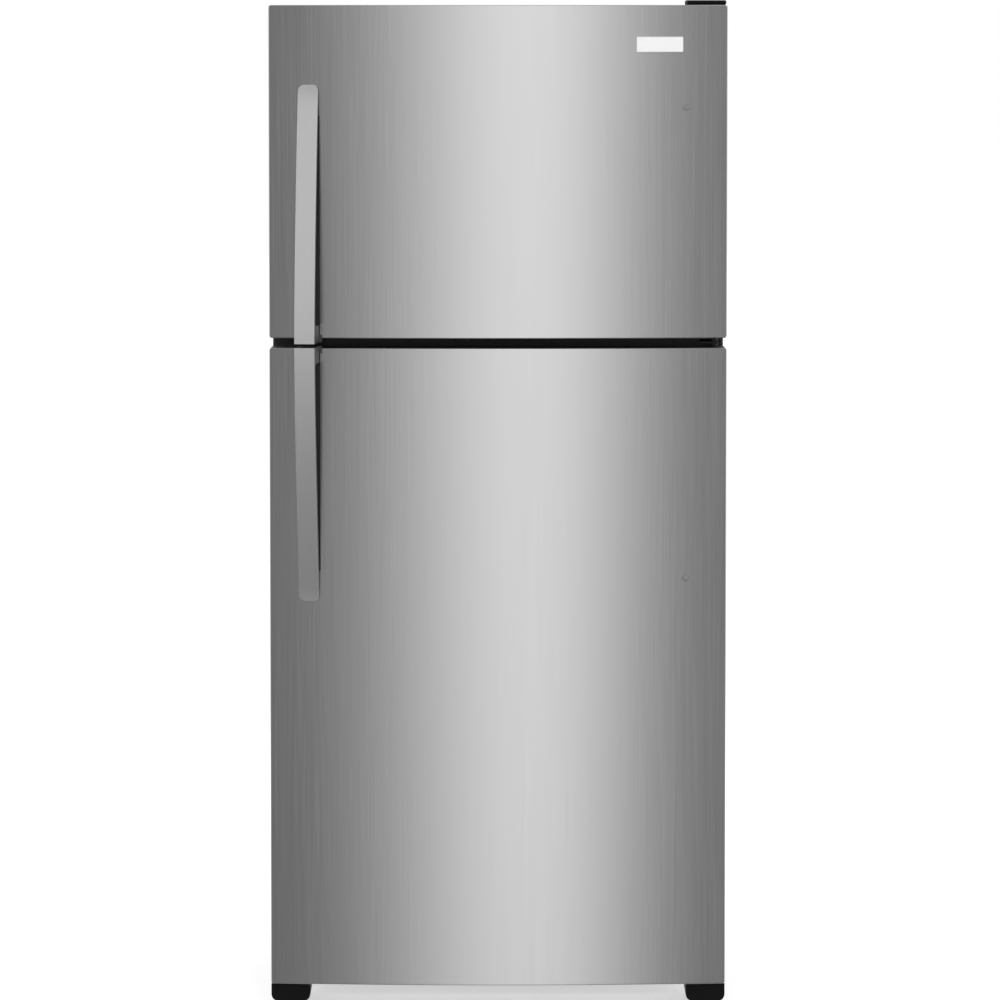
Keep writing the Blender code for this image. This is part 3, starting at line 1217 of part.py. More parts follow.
def build():
    """Build every piece on its body's pivot."""
    cabinet = pivot("cabinet", (0, 0, 0))
    freezer_door = pivot("freezer_door", (HINGE_X, HINGE_Y, FREEZER_DOOR[0]), cabinet)
    fridge_door = pivot("fridge_door", (HINGE_X, HINGE_Y, FRIDGE_DOOR[0]), cabinet)
    dairy_flap = pivot("dairy_flap", (0, FLAP_AXIS[0], FLAP_AXIS[1]), fridge_door)
    dial_height = CONTROL_BOTTOM + CONTROL_SIZE[2] / 2
    dials = {
        name: pivot(name, (side * DIAL_SPACING / 2, CONTROL_FRONT, dial_height), cabinet)
        for name, side in (("fridge_dial", -1), ("freezer_dial", 1))
    }
    switch = pivot("light_switch", (SWITCH_OFFSET, DOOR_BACK, FRIDGE_CEILING + SWITCH_RISE), cabinet)
    evaporator_place = (0, EVAPORATOR_FRONT + FAN_STANDOFF, EVAPORATOR_FAN_HEIGHT)
    evaporator_fan = pivot("evaporator_fan", evaporator_place, cabinet)
    condenser_place = (CONDENSER_FAN_OFFSET, COMPRESSOR_Y, CONDENSER_FAN_HEIGHT)
    condenser_fan = pivot("condenser_fan", condenser_place, cabinet)
    sides = (("left", -1), ("right", 1))
    legs = {name: pivot(f"leg_{name}", (s * RAIL_OFFSET, LEG_Y, 0), cabinet) for name, s in sides}
    rollers = {
        name: pivot(f"roller_{name}", (s * RAIL_OFFSET, ROLLER_Y, ROLLER_RADIUS), cabinet)
        for name, s in sides
    }

    build_cabinet(cabinet)
    build_hinges(cabinet)
    build_base(cabinet, legs, rollers)
    build_machine(cabinet, condenser_fan)
    build_evaporator(cabinet, evaporator_fan)
    build_shelves(cabinet)
    build_controls(cabinet, dials, switch)
    for name, side in sides:
        drawer = pivot(f"crisper_{name}", (side * CAVITY_HALF / 2, SHELF_FRONT, FRIDGE_FLOOR), cabinet)
        build_drawer(f"crisper_drawer_{name}", side, drawer)

    freezer_dyke = (FREEZER_FLOOR + DYKE_END, FREEZER_CEILING - DYKE_END)
    freezer_gasket = (FREEZER_DOOR[0] + GASKET_MULLION, FREEZER_DOOR[1] - GASKET_END)
    build_door("freezer_door", FREEZER_DOOR, freezer_door, freezer_dyke, freezer_gasket)
    fridge_dyke = (FRIDGE_FLOOR + DYKE_END, FRIDGE_CEILING - DYKE_END)
    fridge_gasket = (FRIDGE_DOOR[0] + GASKET_END, FRIDGE_DOOR[1] - GASKET_MULLION)
    build_door("fridge_door", FRIDGE_DOOR, fridge_door, fridge_dyke, fridge_gasket)

    build_handle("freezer_handle", *FREEZER_HANDLE, freezer_door)
    build_handle("fridge_handle", *FRIDGE_HANDLE, fridge_door)
    build_badge(freezer_door)
    build_plug("freezer_hole_plug", PLUG_HEIGHTS[0], freezer_door)
    build_plug("fridge_hole_plug", PLUG_HEIGHTS[1], fridge_door)
    build_bin("freezer_bin_lower", FREEZER_BIN_FLOORS[0], freezer_door)
    build_bin("freezer_bin_upper", FREEZER_BIN_FLOORS[1], freezer_door)
    build_bin("fridge_bin_lower", FRIDGE_BIN_FLOORS[0], fridge_door)
    build_bin("fridge_bin_middle", FRIDGE_BIN_FLOORS[1], fridge_door)
    build_dairy_box(fridge_door, dairy_flap)


build()
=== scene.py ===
import math

import bmesh
import bpy
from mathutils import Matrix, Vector


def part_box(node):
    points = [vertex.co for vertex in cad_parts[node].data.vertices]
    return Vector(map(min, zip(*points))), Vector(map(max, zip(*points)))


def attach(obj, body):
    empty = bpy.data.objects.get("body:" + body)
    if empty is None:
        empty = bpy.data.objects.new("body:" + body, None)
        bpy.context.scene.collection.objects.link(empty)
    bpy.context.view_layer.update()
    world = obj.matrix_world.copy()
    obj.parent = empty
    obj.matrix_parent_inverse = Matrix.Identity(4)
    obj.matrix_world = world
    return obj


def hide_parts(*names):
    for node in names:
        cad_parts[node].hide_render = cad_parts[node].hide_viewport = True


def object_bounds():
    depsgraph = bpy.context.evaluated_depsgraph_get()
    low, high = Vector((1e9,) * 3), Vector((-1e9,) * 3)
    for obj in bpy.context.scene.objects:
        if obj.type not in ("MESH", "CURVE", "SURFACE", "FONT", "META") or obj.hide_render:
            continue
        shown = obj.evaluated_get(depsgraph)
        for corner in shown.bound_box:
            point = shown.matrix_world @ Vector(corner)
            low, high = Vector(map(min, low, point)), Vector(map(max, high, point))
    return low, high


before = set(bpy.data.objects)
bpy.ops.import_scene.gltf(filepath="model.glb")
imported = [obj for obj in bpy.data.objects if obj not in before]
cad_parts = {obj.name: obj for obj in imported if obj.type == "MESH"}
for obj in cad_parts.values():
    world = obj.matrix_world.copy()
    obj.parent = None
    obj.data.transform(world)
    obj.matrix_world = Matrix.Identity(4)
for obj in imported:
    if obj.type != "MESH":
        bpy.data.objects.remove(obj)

bl_info = {
    "name": "Top Freezer Refrigerator",
    "version": (1, 0, 0),
    "blender": (4, 5, 0),
    "location": "3D View > Sidebar > Refrigerator",
    "description": "Models the skins, fittings and finishes of a two-door refrigerator",
    "category": "Add Mesh",
}

CAD_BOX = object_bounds()
MM = 0.001
SEAM = 0.3 * MM
# How strongly large faces set the shading of the bevels beside them, out of 100.
LARGE_FACE_WEIGHT = 80
DOORS = ("freezer", "fridge")


def linear(code):
    """An sRGB colour written as a hex code, as linear red, green and blue."""
    shades = [int(code[i : i + 2], 16) / 255 for i in (0, 2, 4)]
    return tuple(s / 12.92 if s <= 0.04045 else ((s + 0.055) / 1.055) ** 2.4 for s in shades)


def length(label, text, default, **more):
    """A size in metres for the sidebar."""
    return bpy.props.FloatProperty(
        name=label, description=text, default=default, unit="LENGTH", precision=4, **more
    )


def colour(label, text, code):
    """A colour for the sidebar, from its sRGB hex code."""
    return bpy.props.FloatVectorProperty(
        name=label, description=text, default=linear(code), subtype="COLOR", size=3, min=0, max=1
    )


class RefrigeratorSizes(bpy.types.PropertyGroup):
    """Sizes of the pieces that are modelled round the frame"""

    door_bulge: length("Door bulge", "How far a door's middle stands out from its sides", 0.022)
    door_corner: length("Door corner", "Radius of a door skin's corners", 0.004)
    door_edge: length("Door edge", "Radius of the fold round a door skin", 0.0016)
    door_sheet: length("Door sheet", "Thickness of the folded steel", 0.0013)
    handle_offset: length("Handle offset", "From the middle of a door to its handle", 0.312)
    handle_width: length("Handle width", "Width of a handle's bar", 0.0333)
    handle_stand: length("Handle stand", "How far a handle's post stands off the door", 0.065)
    handle_tip: length("Handle tip", "How far a handle's tip stands off the door", 0.008)
    handle_bar: length("Handle bar", "Thickness of a handle's bar", 0.011)
    handle_post: length("Handle post", "Height of a handle's post", 0.027)
    handle_fillet: length("Handle fillet", "Radius inside the corner of post and bar", 0.012)
    handle_corner: length("Handle corner", "Radius of the corners at a handle's tip", 0.010)
    # Painted shade: the handle strip is a black sheet on the door standing for the shade beside and
    # behind each bar; this is how far it shows past the bar's sides.
    strip_proud: length("Strip width", "How far the backing strip stands out beside the bar", 0.0012)
    handle_edge: length("Handle edge", "Radius of a handle's long edges", 0.0022)
    handle_nose: length("Handle nose", "How far a handle's tip curls towards the door", 0.0028)
    handle_nose_reach: length("Handle nose reach", "Length of the curl at a handle's tip", 0.032)
    # Painted shade: thickness of the black strip that stands for the shade behind a handle.
    strip_thick: length("Backing strip", "Thickness of the dark strip behind a handle", 0.001)
    badge_rim: length("Badge rim", "Width of the raised rim round the blank badge plate", 0.0011)
    wire: length("Shelf wire", "Diameter of the freezer shelf's thin wires", 0.0032)
    wire_rim: length("Shelf rim wire", "Diameter of the freezer shelf's outer wire", 0.0060)
    trim: length("Shelf trim", "Depth of the plastic trim along a glass shelf's edges", 0.016)


class RefrigeratorColours(bpy.types.PropertyGroup):
    """Base colours of the finishes"""

    steel: colour("Stainless steel", "Door skins", "CBCACA")
    handle: colour("Satin steel", "Door handles", "E5E4E4")
    black: colour("Black", "Painted cabinet and moulded black pieces", "080809")
    grey: colour("Grey", "Moulded end caps and fan parts", "5E6062")
    white: colour("White", "Liners and inside fittings", "E6E7E4")
    vinyl: colour("Gasket vinyl", "Door gaskets", "8A8C8E")
    badge: colour("Badge plate", "Blank plate on the upper door", "FAFAFA")


def sizes():
    """The sizes set in the sidebar."""
    return bpy.context.scene.refrigerator_sizes


def colours():
    """The colours set in the sidebar."""
    return bpy.context.scene.refrigerator_colours


# ---------------------------------------------------------------- modelling


def deselect():
    """Clears the selection, because operators act on all that is selected."""
    bpy.ops.object.select_all(action="DESELECT")


def pick(piece):
    """Leaves one piece selected and active."""
    deselect()
    piece.select_set(True)
    bpy.context.view_layer.objects.active = piece


def settle_transform(piece):
    """Puts the object's place and turn into its mesh."""
    pick(piece)
    bpy.ops.object.transform_apply(location=True, rotation=True, scale=True)
    return piece


def name_new(name):
    """Names the piece that an operator has just made."""
    piece = bpy.context.object
    piece.name = piece.data.name = name
    return piece


def block(name, low, high):
    """A box between two corners, to be shaped further."""
    low, high = Vector(low), Vector(high)
    deselect()
    bpy.ops.mesh.primitive_cube_add(size=1, location=(low + high) / 2)
    piece = name_new(name)
    piece.scale = high - low
    return settle_transform(piece)


def rod(name, radius, start, end, sides=16):
    """A round bar between two points, to be shaped further."""
    start, end = Vector(start), Vector(end)
    run = end - start
    deselect()
    bpy.ops.mesh.primitive_cylinder_add(
        vertices=sides, radius=radius, depth=run.length, location=(start + end) / 2
    )
    piece = name_new(name)
    piece.rotation_euler = run.to_track_quat("Z", "Y").to_euler()
    return settle_transform(piece)


def hoop(name, major, minor, centre, turn=(0, 0, 0), major_sides=40, minor_sides=8):
    """A ring of round wire."""
    deselect()
    bpy.ops.mesh.primitive_torus_add(
        major_radius=major,
        minor_radius=minor,
        major_segments=major_sides,
        minor_segments=minor_sides,
        location=centre,
        rotation=turn,
    )
    return settle_transform(name_new(name))


def tube(name, points, radius, sides=4):
    """A bent pipe along a smooth line through points."""
    line = bpy.data.curves.new(name, "CURVE")
    line.dimensions = "3D"
    line.bevel_depth = radius
    line.bevel_resolution = sides
    line.use_fill_caps = True
    line.resolution_u = 8
    spline = line.splines.new("BEZIER")
    spline.bezier_points.add(len(points) - 1)
    for knot, point in zip(spline.bezier_points, points):
        knot.co = point
        knot.handle_left_type = knot.handle_right_type = "AUTO"
    piece = bpy.data.objects.new(name + "_line", line)
    bpy.context.scene.collection.objects.link(piece)
    pick(piece)
    bpy.ops.object.convert(target="MESH")
    return name_new(name)


def choose(piece, test, kind="FACE"):
    """Opens a piece for editing with the faces, edges or points chosen that pass a test."""
    pick(piece)
    bpy.ops.object.mode_set(mode="EDIT")
    bpy.ops.mesh.select_mode(type=kind)
    shape = bmesh.from_edit_mesh(piece.data)
    parts = {"FACE": shape.faces, "EDGE": shape.edges, "VERT": shape.verts}[kind]
    wanted = [part for part in parts if test(part)]
    for part in [*shape.verts, *shape.edges, *shape.faces]:
        part.select = False
    for part in wanted:
        part.select_set(True)
    bmesh.update_edit_mesh(piece.data)
    return len(wanted)


def close():
    """Ends the editing that choose began."""
    bpy.ops.object.mode_set(mode="OBJECT")


def anything(_part):
    """The test that every part passes."""
    return True


def shape_with(piece, kind, **settings):
    """Adds a modifier and applies it."""
    pick(piece)
    modifier = piece.modifiers.new(kind.title(), kind)
    for key, value in settings.items():
        setattr(modifier, key, value)
    bpy.ops.object.modifier_apply(modifier=modifier.name)
    return piece


def round_edges(piece, width, segments=2, degrees=30):
    """Rounds every edge sharper than an angle."""
    return shape_with(
        piece,
        "BEVEL",
        width=width,
        segments=segments,
        limit_method="ANGLE",
        angle_limit=math.radians(degrees),
    )


def smooth(piece, degrees=35):
    """Shades a piece smooth, except across edges sharper than an angle."""
    pick(piece)
    bpy.ops.object.shade_smooth_by_angle(angle=math.radians(degrees))
    return piece


def join(name, pieces):
    """Makes one piece of several."""
    deselect()
    for piece in pieces:
        piece.select_set(True)
    bpy.context.view_layer.objects.active = pieces[0]
    if len(pieces) > 1:
        bpy.ops.object.join()
    return name_new(name)


def copies(piece, moves):
    """The piece and copies of it, each with its own mesh, moved into place."""
    made = []
    for move in moves:
        pick(piece)
        bpy.ops.object.duplicate(linked=False)
        copy = bpy.context.object
        copy.location = move
        made.append(settle_transform(copy))
    bpy.data.objects.remove(piece)
    return made


def add_grain_map(piece):
    """Lays a map of metres over the piece, across and up, for the direction of the grain."""
    layer = piece.data.uv_layers.get("grain") or piece.data.uv_layers.new(name="grain")
    for face in piece.data.polygons:
        sideways = abs(face.normal.x) > abs(face.normal.y)
        for corner in face.loop_indices:
            place = piece.data.vertices[piece.data.loops[corner].vertex_index].co
            across = place.y if sideways else place.x
            layer.data[corner].uv = (across, place.z)
    piece.data.uv_layers.active = layer
    return piece


def finish(piece, body, slot, material, *replaced):
    """Gives a finished piece its material, the body it rides on and what it stands for. The slot is not
    used.
    """
    smooth(piece)
    shape_with(piece, "WEIGHTED_NORMAL", keep_sharp=True, weight=LARGE_FACE_WEIGHT)
    piece.data.materials.clear()
    piece.data.materials.append(material)
    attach(piece, body)
    if replaced:
        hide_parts(*replaced)
    return piece


# ---------------------------------------------------------------- materials


def add_node(tree, kind, values=None, links=None, stops=None, **settings):
    """Adds a node with its settings, its sockets' own values, its links and a ramp's stops."""
    node = tree.nodes.new(kind)
    for key, value in settings.items():
        setattr(node, key, value)
    for socket, value in (values or {}).items():
        node.inputs[socket].default_value = value
    for socket, source in (links or {}).items():
        tree.links.new(source, node.inputs[socket])
    if stops:
        marks = node.color_ramp.elements
        while len(marks) > 1:
            marks.remove(marks[-1])
        for index, (place, shade) in enumerate(stops):
            mark = marks[0] if index == 0 else marks.new(place)
            mark.position = place
            mark.color = (*shade, 1) if isinstance(shade, tuple) else (shade, shade, shade, 1)
    return node


def shaded(base, share):
    """A colour made lighter or darker by a share."""
    return tuple(min(1.0, channel * share) for channel in base)


def new_material(name, **sockets):
    """A material with one main shader, whose fixed values are set on its own sockets."""
    material = bpy.data.materials.new(name)
    material.use_nodes = True
    tree = material.node_tree
    tree.nodes.clear()
    shader = add_node(tree, "ShaderNodeBsdfPrincipled", values=sockets)
    add_node(tree, "ShaderNodeOutputMaterial", links={"Surface": shader.outputs[0]})
    return material, tree, shader


def grained(name, base, grain, stretch=(1, 1, 1), spread=0.06, rough=(0.35, 0.45), bump=0.0,
            pattern="ShaderNodeTexNoise", detail=3.0, **sockets):
    """A finish whose colour, gloss and height wander over a grain of a real size in metres."""
    material, tree, shader = new_material(name, **sockets)
    place = add_node(tree, "ShaderNodeTexCoord")
    turned = add_node(
        tree,
        "ShaderNodeMapping",
        values={"Scale": tuple(1 / (grain * s) for s in stretch)},
        links={"Vector": place.outputs["Object"]},
    )
    values = {"Scale": 1.0}
    if pattern == "ShaderNodeTexNoise":
        values["Detail"] = detail
    cells = add_node(tree, pattern, values=values, links={"Vector": turned.outputs[0]})
    height = cells.outputs["Distance" if pattern == "ShaderNodeTexVoronoi" else "Fac"]
    low, high = shaded(base, 1 - spread), shaded(base, 1 + spread)
    ramp = add_node(
        tree, "ShaderNodeValToRGB", links={"Fac": height}, stops=((0.25, low), (0.75, high))
    )
    gloss = add_node(
        tree,
        "ShaderNodeMapRange",
        values={"From Min": 0.25, "From Max": 0.75, "To Min": rough[0], "To Max": rough[1]},
        links={"Value": height},
    )
    tree.links.new(ramp.outputs["Color"], shader.inputs["Base Color"])
    tree.links.new(gloss.outputs["Result"], shader.inputs["Roughness"])
    if bump:
        relief = add_node(
            tree,
            "ShaderNodeBump",
            values={"Strength": 1.0, "Distance": bump},
            links={"Height": height},
        )
        tree.links.new(relief.outputs["Normal"], shader.inputs["Normal"])
    return material


def brushed(name, base, rough, direction_share, spread=0.03):
    """Stainless sheet ground with a belt from bottom to top: hairlines, and a sheen drawn across."""
    hairline = 1.6 * MM  # real hairlines are near 0.1 mm, drawn wider so that they show
    material = grained(
        name,
        base,
        hairline,
        stretch=(1, 1, 140),
        spread=spread,
        rough=rough,
        detail=2.0,
        Metallic=1.0,
        Anisotropic=direction_share,
    )
    tree = material.node_tree
    along = add_node(tree, "ShaderNodeTangent", direction_type="UV_MAP", uv_map="grain")
    tree.links.new(along.outputs[0], tree.nodes["Principled BSDF"].inputs["Tangent"])
    return material


def moulded(name, base, grain=0.6 * MM, rough=(0.42, 0.55), bump=0.02 * MM, **sockets):
    """Injection-moulded plastic with the fine spark-eroded texture of its mould."""
    return grained(
        name, base, grain, spread=0.05, rough=rough, bump=bump,
        pattern="ShaderNodeTexVoronoi", **{"IOR": 1.54, **sockets}
    )


def clear(name, base, rough, ior, haze):
    """A clear sheet or moulding, with faint wipe marks in its gloss."""
    return grained(
        name, base, haze, spread=0.02, rough=rough, IOR=ior,
        **{"Transmission Weight": 1.0}
    )


def make_materials():
    """Every finish, by its plain name."""
    paint = colours()
    made = {}
    # Ground stainless sheet: its hairlines keep reflections sharp upwards and spread them across.
    made["stainless"] = brushed("brushed_stainless_sheet", paint.steel, (0.17, 0.21), 0.30)
    # Satin-finished steel bar: the same grain, coarser, so its sheen spreads far to the sides.
    made["handle"] = brushed("satin_steel_bar", paint.handle, (0.40, 0.46), 0.85, spread=0.02)
    # Baked polyester powder on steel, rolled into a small pebble.
    made["painted_steel"] = grained(
        "textured_black_enamel_steel", paint.black, 1.2 * MM, rough=(0.38, 0.50),
        bump=0.05 * MM, pattern="ShaderNodeTexVoronoi", spread=0.12, IOR=1.52
    )
    # Hot-dip galvanised sheet, whose zinc froze in flat crystals.
    made["zinc"] = grained(
        "galvanised_steel", linear("B4B6B8"), 9 * MM, spread=0.07, rough=(0.36, 0.48),
        pattern="ShaderNodeTexVoronoi", Metallic=1.0
    )
    # Electroplated zinc on pressed hinges: fine, even and slightly blue.
    made["plated"] = grained(
        "zinc_plated_steel", linear("A9ACB0"), 0.8 * MM, spread=0.08, rough=(0.28, 0.40), Metallic=1.0
    )
    # Vacuum-formed high-impact polystyrene, glossy with a slow orange peel.
    made["liner"] = grained(
        "formed_polystyrene_liner", paint.white, 14 * MM, spread=0.008, rough=(0.26, 0.34),
        bump=0.012 * MM, IOR=1.59
    )
    made["white"] = moulded("moulded_white_abs", paint.white, rough=(0.34, 0.44), bump=0.01 * MM)
    made["grey"] = moulded("moulded_grey_abs", paint.grey)
    # Polypropylene with a matt moulded grain.
    made["black"] = moulded(
        "moulded_black_polypropylene", paint.black, rough=(0.48, 0.62), **{"Specular IOR Level": 0.2}
    )
    # Painted shade: near-black colour for the strip laid under each handle, standing for the shade behind
    # and beside its bar.
    made["strip"] = moulded("black_painted_shade_strip", linear("141415"), rough=(0.55, 0.68))
    made["handle_side"] = moulded("moulded_charcoal_handle_core", linear("4A4A4C"), rough=(0.40, 0.52))
    # Small caps pressed into the unused screw holes, in metallic grey paint.
    made["plug"] = grained(
        "painted_grey_plug", linear("8E8F90"), 0.5 * MM, spread=0.04, rough=(0.30, 0.40), Metallic=0.3
    )
    # General-purpose polystyrene, clear with a faint blue.
    made["clear"] = clear("clear_polystyrene", linear("FCFEFF"), (0.02, 0.06), 1.30, 40 * MM)
    # Toughened soda-lime glass with a green cast.
    made["glass"] = clear("toughened_glass", linear("F4FAF7"), (0.0, 0.03), 1.40, 60 * MM)
    # Steel wire dipped in white vinyl: thick, smooth and slightly soft.
    made["dipped"] = grained(
        "vinyl_dipped_wire", paint.white, 6 * MM, spread=0.02, rough=(0.26, 0.36),
        bump=0.06 * MM, IOR=1.53
    )
    # Poured polyurethane foam: open cut cells.
    made["foam"] = grained(
        "polyurethane_foam", linear("E4D6A4"), 1.0 * MM, spread=0.10, rough=(0.85, 0.95),
        bump=0.2 * MM, pattern="ShaderNodeTexVoronoi"
    )
    # Extruded soft vinyl, matt and slightly dusty.
    made["vinyl"] = grained(
        "extruded_vinyl_gasket", paint.vinyl, 2 * MM, spread=0.05, rough=(0.50, 0.66),
        **{"Specular IOR Level": 0.4}
    )
    # Rolled aluminium fin stock: fine lines along each fin.
    made["fins"] = grained(
        "rolled_aluminium_fins", linear("C6C8CB"), 1.0 * MM, stretch=(1, 30, 30),
        spread=0.06, rough=(0.25, 0.38), Metallic=1.0
    )
    # Drawn copper tube, tarnished in slow patches.
    made["copper"] = grained(
        "drawn_copper_tube", linear("B5714C"), 14 * MM, spread=0.22, rough=(0.24, 0.42), Metallic=1.0
    )
    # Dipped black enamel over steel tube and pressings, glossy with drips.
    made["enamel"] = grained(
        "dipped_black_enamel", linear("161618"), 12 * MM, spread=0.15, rough=(0.18, 0.34),
        bump=0.08 * MM, IOR=1.52
    )
    # Pressed fibreboard with a felted face.
    made["board"] = grained(
        "pressed_fibreboard", linear("29292A"), 1.5 * MM, stretch=(1, 1, 0.3), spread=0.25,
        rough=(0.75, 0.9), bump=0.05 * MM
    )
    # Turned nylon rollers and polished wear on their treads.
    made["nylon"] = grained(
        "turned_black_nylon", linear("1A1A1C"), 2 * MM, spread=0.12, rough=(0.38, 0.5), IOR=1.53
    )
    # Satin lacquered aluminium plate, nearly white.
    made["badge"] = grained(
        "satin_badge_plate", paint.badge, 0.5 * MM, spread=0.01, rough=(0.30, 0.38), IOR=1.5
    )
    return made


# What each carried-over CAD node is made of.
NODE_FINISHES = {
    "painted_steel": ("cabinet_wrapper", "center_hinge"),
    "zinc": ("back_panel", "base_frame", "evaporator_fan_motor", "condenser_fan_motor"),
    "plated": ("top_hinge", "bottom_hinge", "leveling_leg_left", "leveling_leg_right"),
    "liner": (
        "freezer_liner",
        "fridge_liner",
        "freezer_door_liner",
        "fridge_door_liner",
        "evaporator_cover",
    ),
    "white": ("control_housing", "freezer_dial", "fridge_dial", "light_switch"),
    "grey": tuple(f"{door}_door_{end}_cap" for door in DOORS for end in ("top", "bottom"))
    + ("evaporator_fan_blade", "condenser_fan_blade"),
    "black": ("top_hinge_cover", "foot_cover_left", "foot_cover_right"),
    "clear": (
        "freezer_bin_lower",
        "freezer_bin_upper",
        "fridge_bin_lower",
        "fridge_bin_middle",
        "crisper_drawer_left",
        "crisper_drawer_right",
        "dairy_box",
        "dairy_flap",
        "lamp",
    ),
    "glass": ("shelf_upper", "shelf_lower", "crisper_cover"),
    "foam": ("cabinet_insulation", "freezer_door_insulation", "fridge_door_insulation"),
    "fins": ("evaporator_coil",),
    "enamel": ("compressor", "condenser_coil"),
    "board": ("rear_access_cover",),
    "nylon": ("rear_roller_left", "rear_roller_right"),
}

MATERIALS = {}


# ---------------------------------------------------------------- doors and handles

ARC_SIDES = 720
CORNER_TOLERANCE = 0.05 * MM


def arc_radius():
    """Radius of a door's arched front, from its half width and its bulge."""
    half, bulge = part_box("fridge_door_panel")[1].x, sizes().door_bulge
    return (half**2 + bulge**2) / (2 * bulge)


def stand_on_door(piece, x):
    """Moves a piece modelled at the origin, with its back at Y 0, to the door's front at x."""
    radius = arc_radius()
    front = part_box("fridge_door_panel")[0].y
    piece.location = (x, front + radius - math.sqrt(radius**2 - x**2), 0)
    piece.rotation_euler = (0, 0, math.asin(x / radius))
    return settle_transform(piece)


def door_skin(door):
    """One sheet of steel, arched in front and folded back down both sides."""
    size = sizes()
    low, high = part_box(f"{door}_door_panel")
    radius = arc_radius()
    half = high.x
    deselect()
    bpy.ops.mesh.primitive_cylinder_add(
        vertices=ARC_SIDES,
        radius=radius,
        depth=high.z - low.z,
        location=(0, low.y + radius, (low.z + high.z) / 2),
    )
    skin = settle_transform(name_new(f"{door}_door_skin"))
    for place, outwards in (
        ((half, 0, 0), (1, 0, 0)),
        ((-half, 0, 0), (-1, 0, 0)),
        ((0, high.y, 0), (0, 1, 0)),
    ):
        choose(skin, anything)
        bpy.ops.mesh.bisect(plane_co=place, plane_no=outwards, use_fill=True, clear_outer=True)
        close()

    def at_corner(edge):
        a, b = (point.co for point in edge.verts)
        outside = all(abs(abs(p.x) - half) < CORNER_TOLERANCE for p in (a, b))
        return outside and abs(a.z - b.z) < CORNER_TOLERANCE and abs(a.y - b.y) > size.door_corner

    choose(skin, at_corner, "EDGE")
    bpy.ops.mesh.bevel(offset=size.door_corner, segments=5, affect="EDGES")
    close()

    def faces_front(face):
        return face.normal.y < -0.9

    def round_the_front(edge):
        pair = [faces_front(face) for face in edge.link_faces]
        return len(pair) == 2 and pair[0] != pair[1]

    choose(skin, round_the_front, "EDGE")
    bpy.ops.mesh.bevel(offset=size.door_edge, segments=3, affect="EDGES")
    close()
    choose(skin, lambda face: face.normal.y > 0.9 or abs(face.normal.z) > 0.995)
    bpy.ops.mesh.delete(type="FACE")
    close()
    shape_with(skin, "SOLIDIFY", thickness=size.door_sheet, offset=-1)
    return finish(
        add_grain_map(skin), f"{door}_door", "stainless", MATERIALS["stainless"], f"{door}_door_panel"
    )


HANDLE_CUTS = 35
# Power of the curve that lifts the bar from its tip to its post.
HANDLE_FLARE = 1.5
# The bar's faces that turn this far to the side, or to the door, show its dark moulded core.
CORE_SIDE = 0.75
CORE_BACK = 0.3
# Share of a handle's length, at its tip, that the black strip of painted shade leaves bare.
STRIP_SHORT = 0.12


def handle(door):
    """A bar that stands off the door on a post at its near end and runs down onto it at its tip."""
    size = sizes()
    low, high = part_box(f"{door}_handle")
    near, far = (low.z, high.z) if door == "freezer" else (high.z, low.z)
    half = size.handle_width / 2
    bar = block(f"{door}_handle_bar", (-half, -size.handle_bar, low.z), (half, 0, high.z))
    choose(bar, lambda edge: abs(edge.verts[0].co.z - edge.verts[1].co.z) > half, "EDGE")
    bpy.ops.mesh.subdivide(number_cuts=HANDLE_CUTS)
    close()
    for step in range(HANDLE_CUTS + 2):
        share = step / (HANDLE_CUTS + 1)
        height = far + (near - far) * share
        lift = 1 - (1 - share) ** HANDLE_FLARE
        curl = max(0.0, 1 - abs(height - far) / size.handle_nose_reach)
        stand = size.handle_tip + (size.handle_stand - size.handle_tip) * lift
        stand -= size.handle_nose * curl**2
        inner = max(stand - size.handle_bar, SEAM)
        for row, depth in ((-size.handle_bar, -stand), (0, -inner)):
            choose(
                bar,
                lambda point: abs(point.co.z - height) < CORNER_TOLERANCE
                and abs(point.co.y - row) < CORNER_TOLERANCE,
                "VERT",
            )
            bpy.ops.transform.translate(value=(0, depth - row, 0))
            close()
    towards = math.copysign(1, far - near)
    post_end = near + towards * size.handle_post
    choose(bar, anything)
    bpy.ops.mesh.bisect(plane_co=(0, 0, post_end), plane_no=(0, 0, 1))
    close()
    choose(
        bar,
        lambda face: face.normal.y > 0.7 and abs(face.calc_center_median().z - near) < size.handle_post,
    )
    bpy.ops.mesh.extrude_region_move(TRANSFORM_OT_translate={"value": (0, size.handle_stand / 2, 0)})
    bpy.ops.transform.resize(value=(1, 0, 1), center_override=(0, -SEAM, 0))
    close()

    def inside_corner(edge):
        a, b = (point.co for point in edge.verts)
        level = abs(a.z - post_end) < CORNER_TOLERANCE and abs(b.z - post_end) < CORNER_TOLERANCE
        under_bar = -size.handle_stand + size.handle_bar / 2 < a.y < -size.handle_stand / 2
        return level and under_bar and abs(a.x - b.x) > half

    choose(bar, inside_corner, "EDGE")
    bpy.ops.mesh.bevel(offset=size.handle_fillet, segments=6, affect="EDGES")
    close()

    def tip_corner(edge):
        a, b = (point.co for point in edge.verts)
        at_tip = abs(a.z - far) < CORNER_TOLERANCE and abs(b.z - far) < CORNER_TOLERANCE
        return at_tip and abs(a.y - b.y) > size.handle_tip / 2

    choose(bar, tip_corner, "EDGE")
    bpy.ops.mesh.bevel(offset=size.handle_corner, segments=6, affect="EDGES")
    close()
    round_edges(bar, size.handle_edge, 3, 40)
    stand_on_door(bar, -size.handle_offset)
    finish(add_grain_map(bar), f"{door}_door", "stainless", MATERIALS["handle"], f"{door}_handle")
    bar.data.materials.append(MATERIALS["handle_side"])
    for face in bar.data.polygons:
        face.material_index = int(abs(face.normal.x) > CORE_SIDE or face.normal.y > CORE_BACK)
    handle_shade_strip(door, near, far)


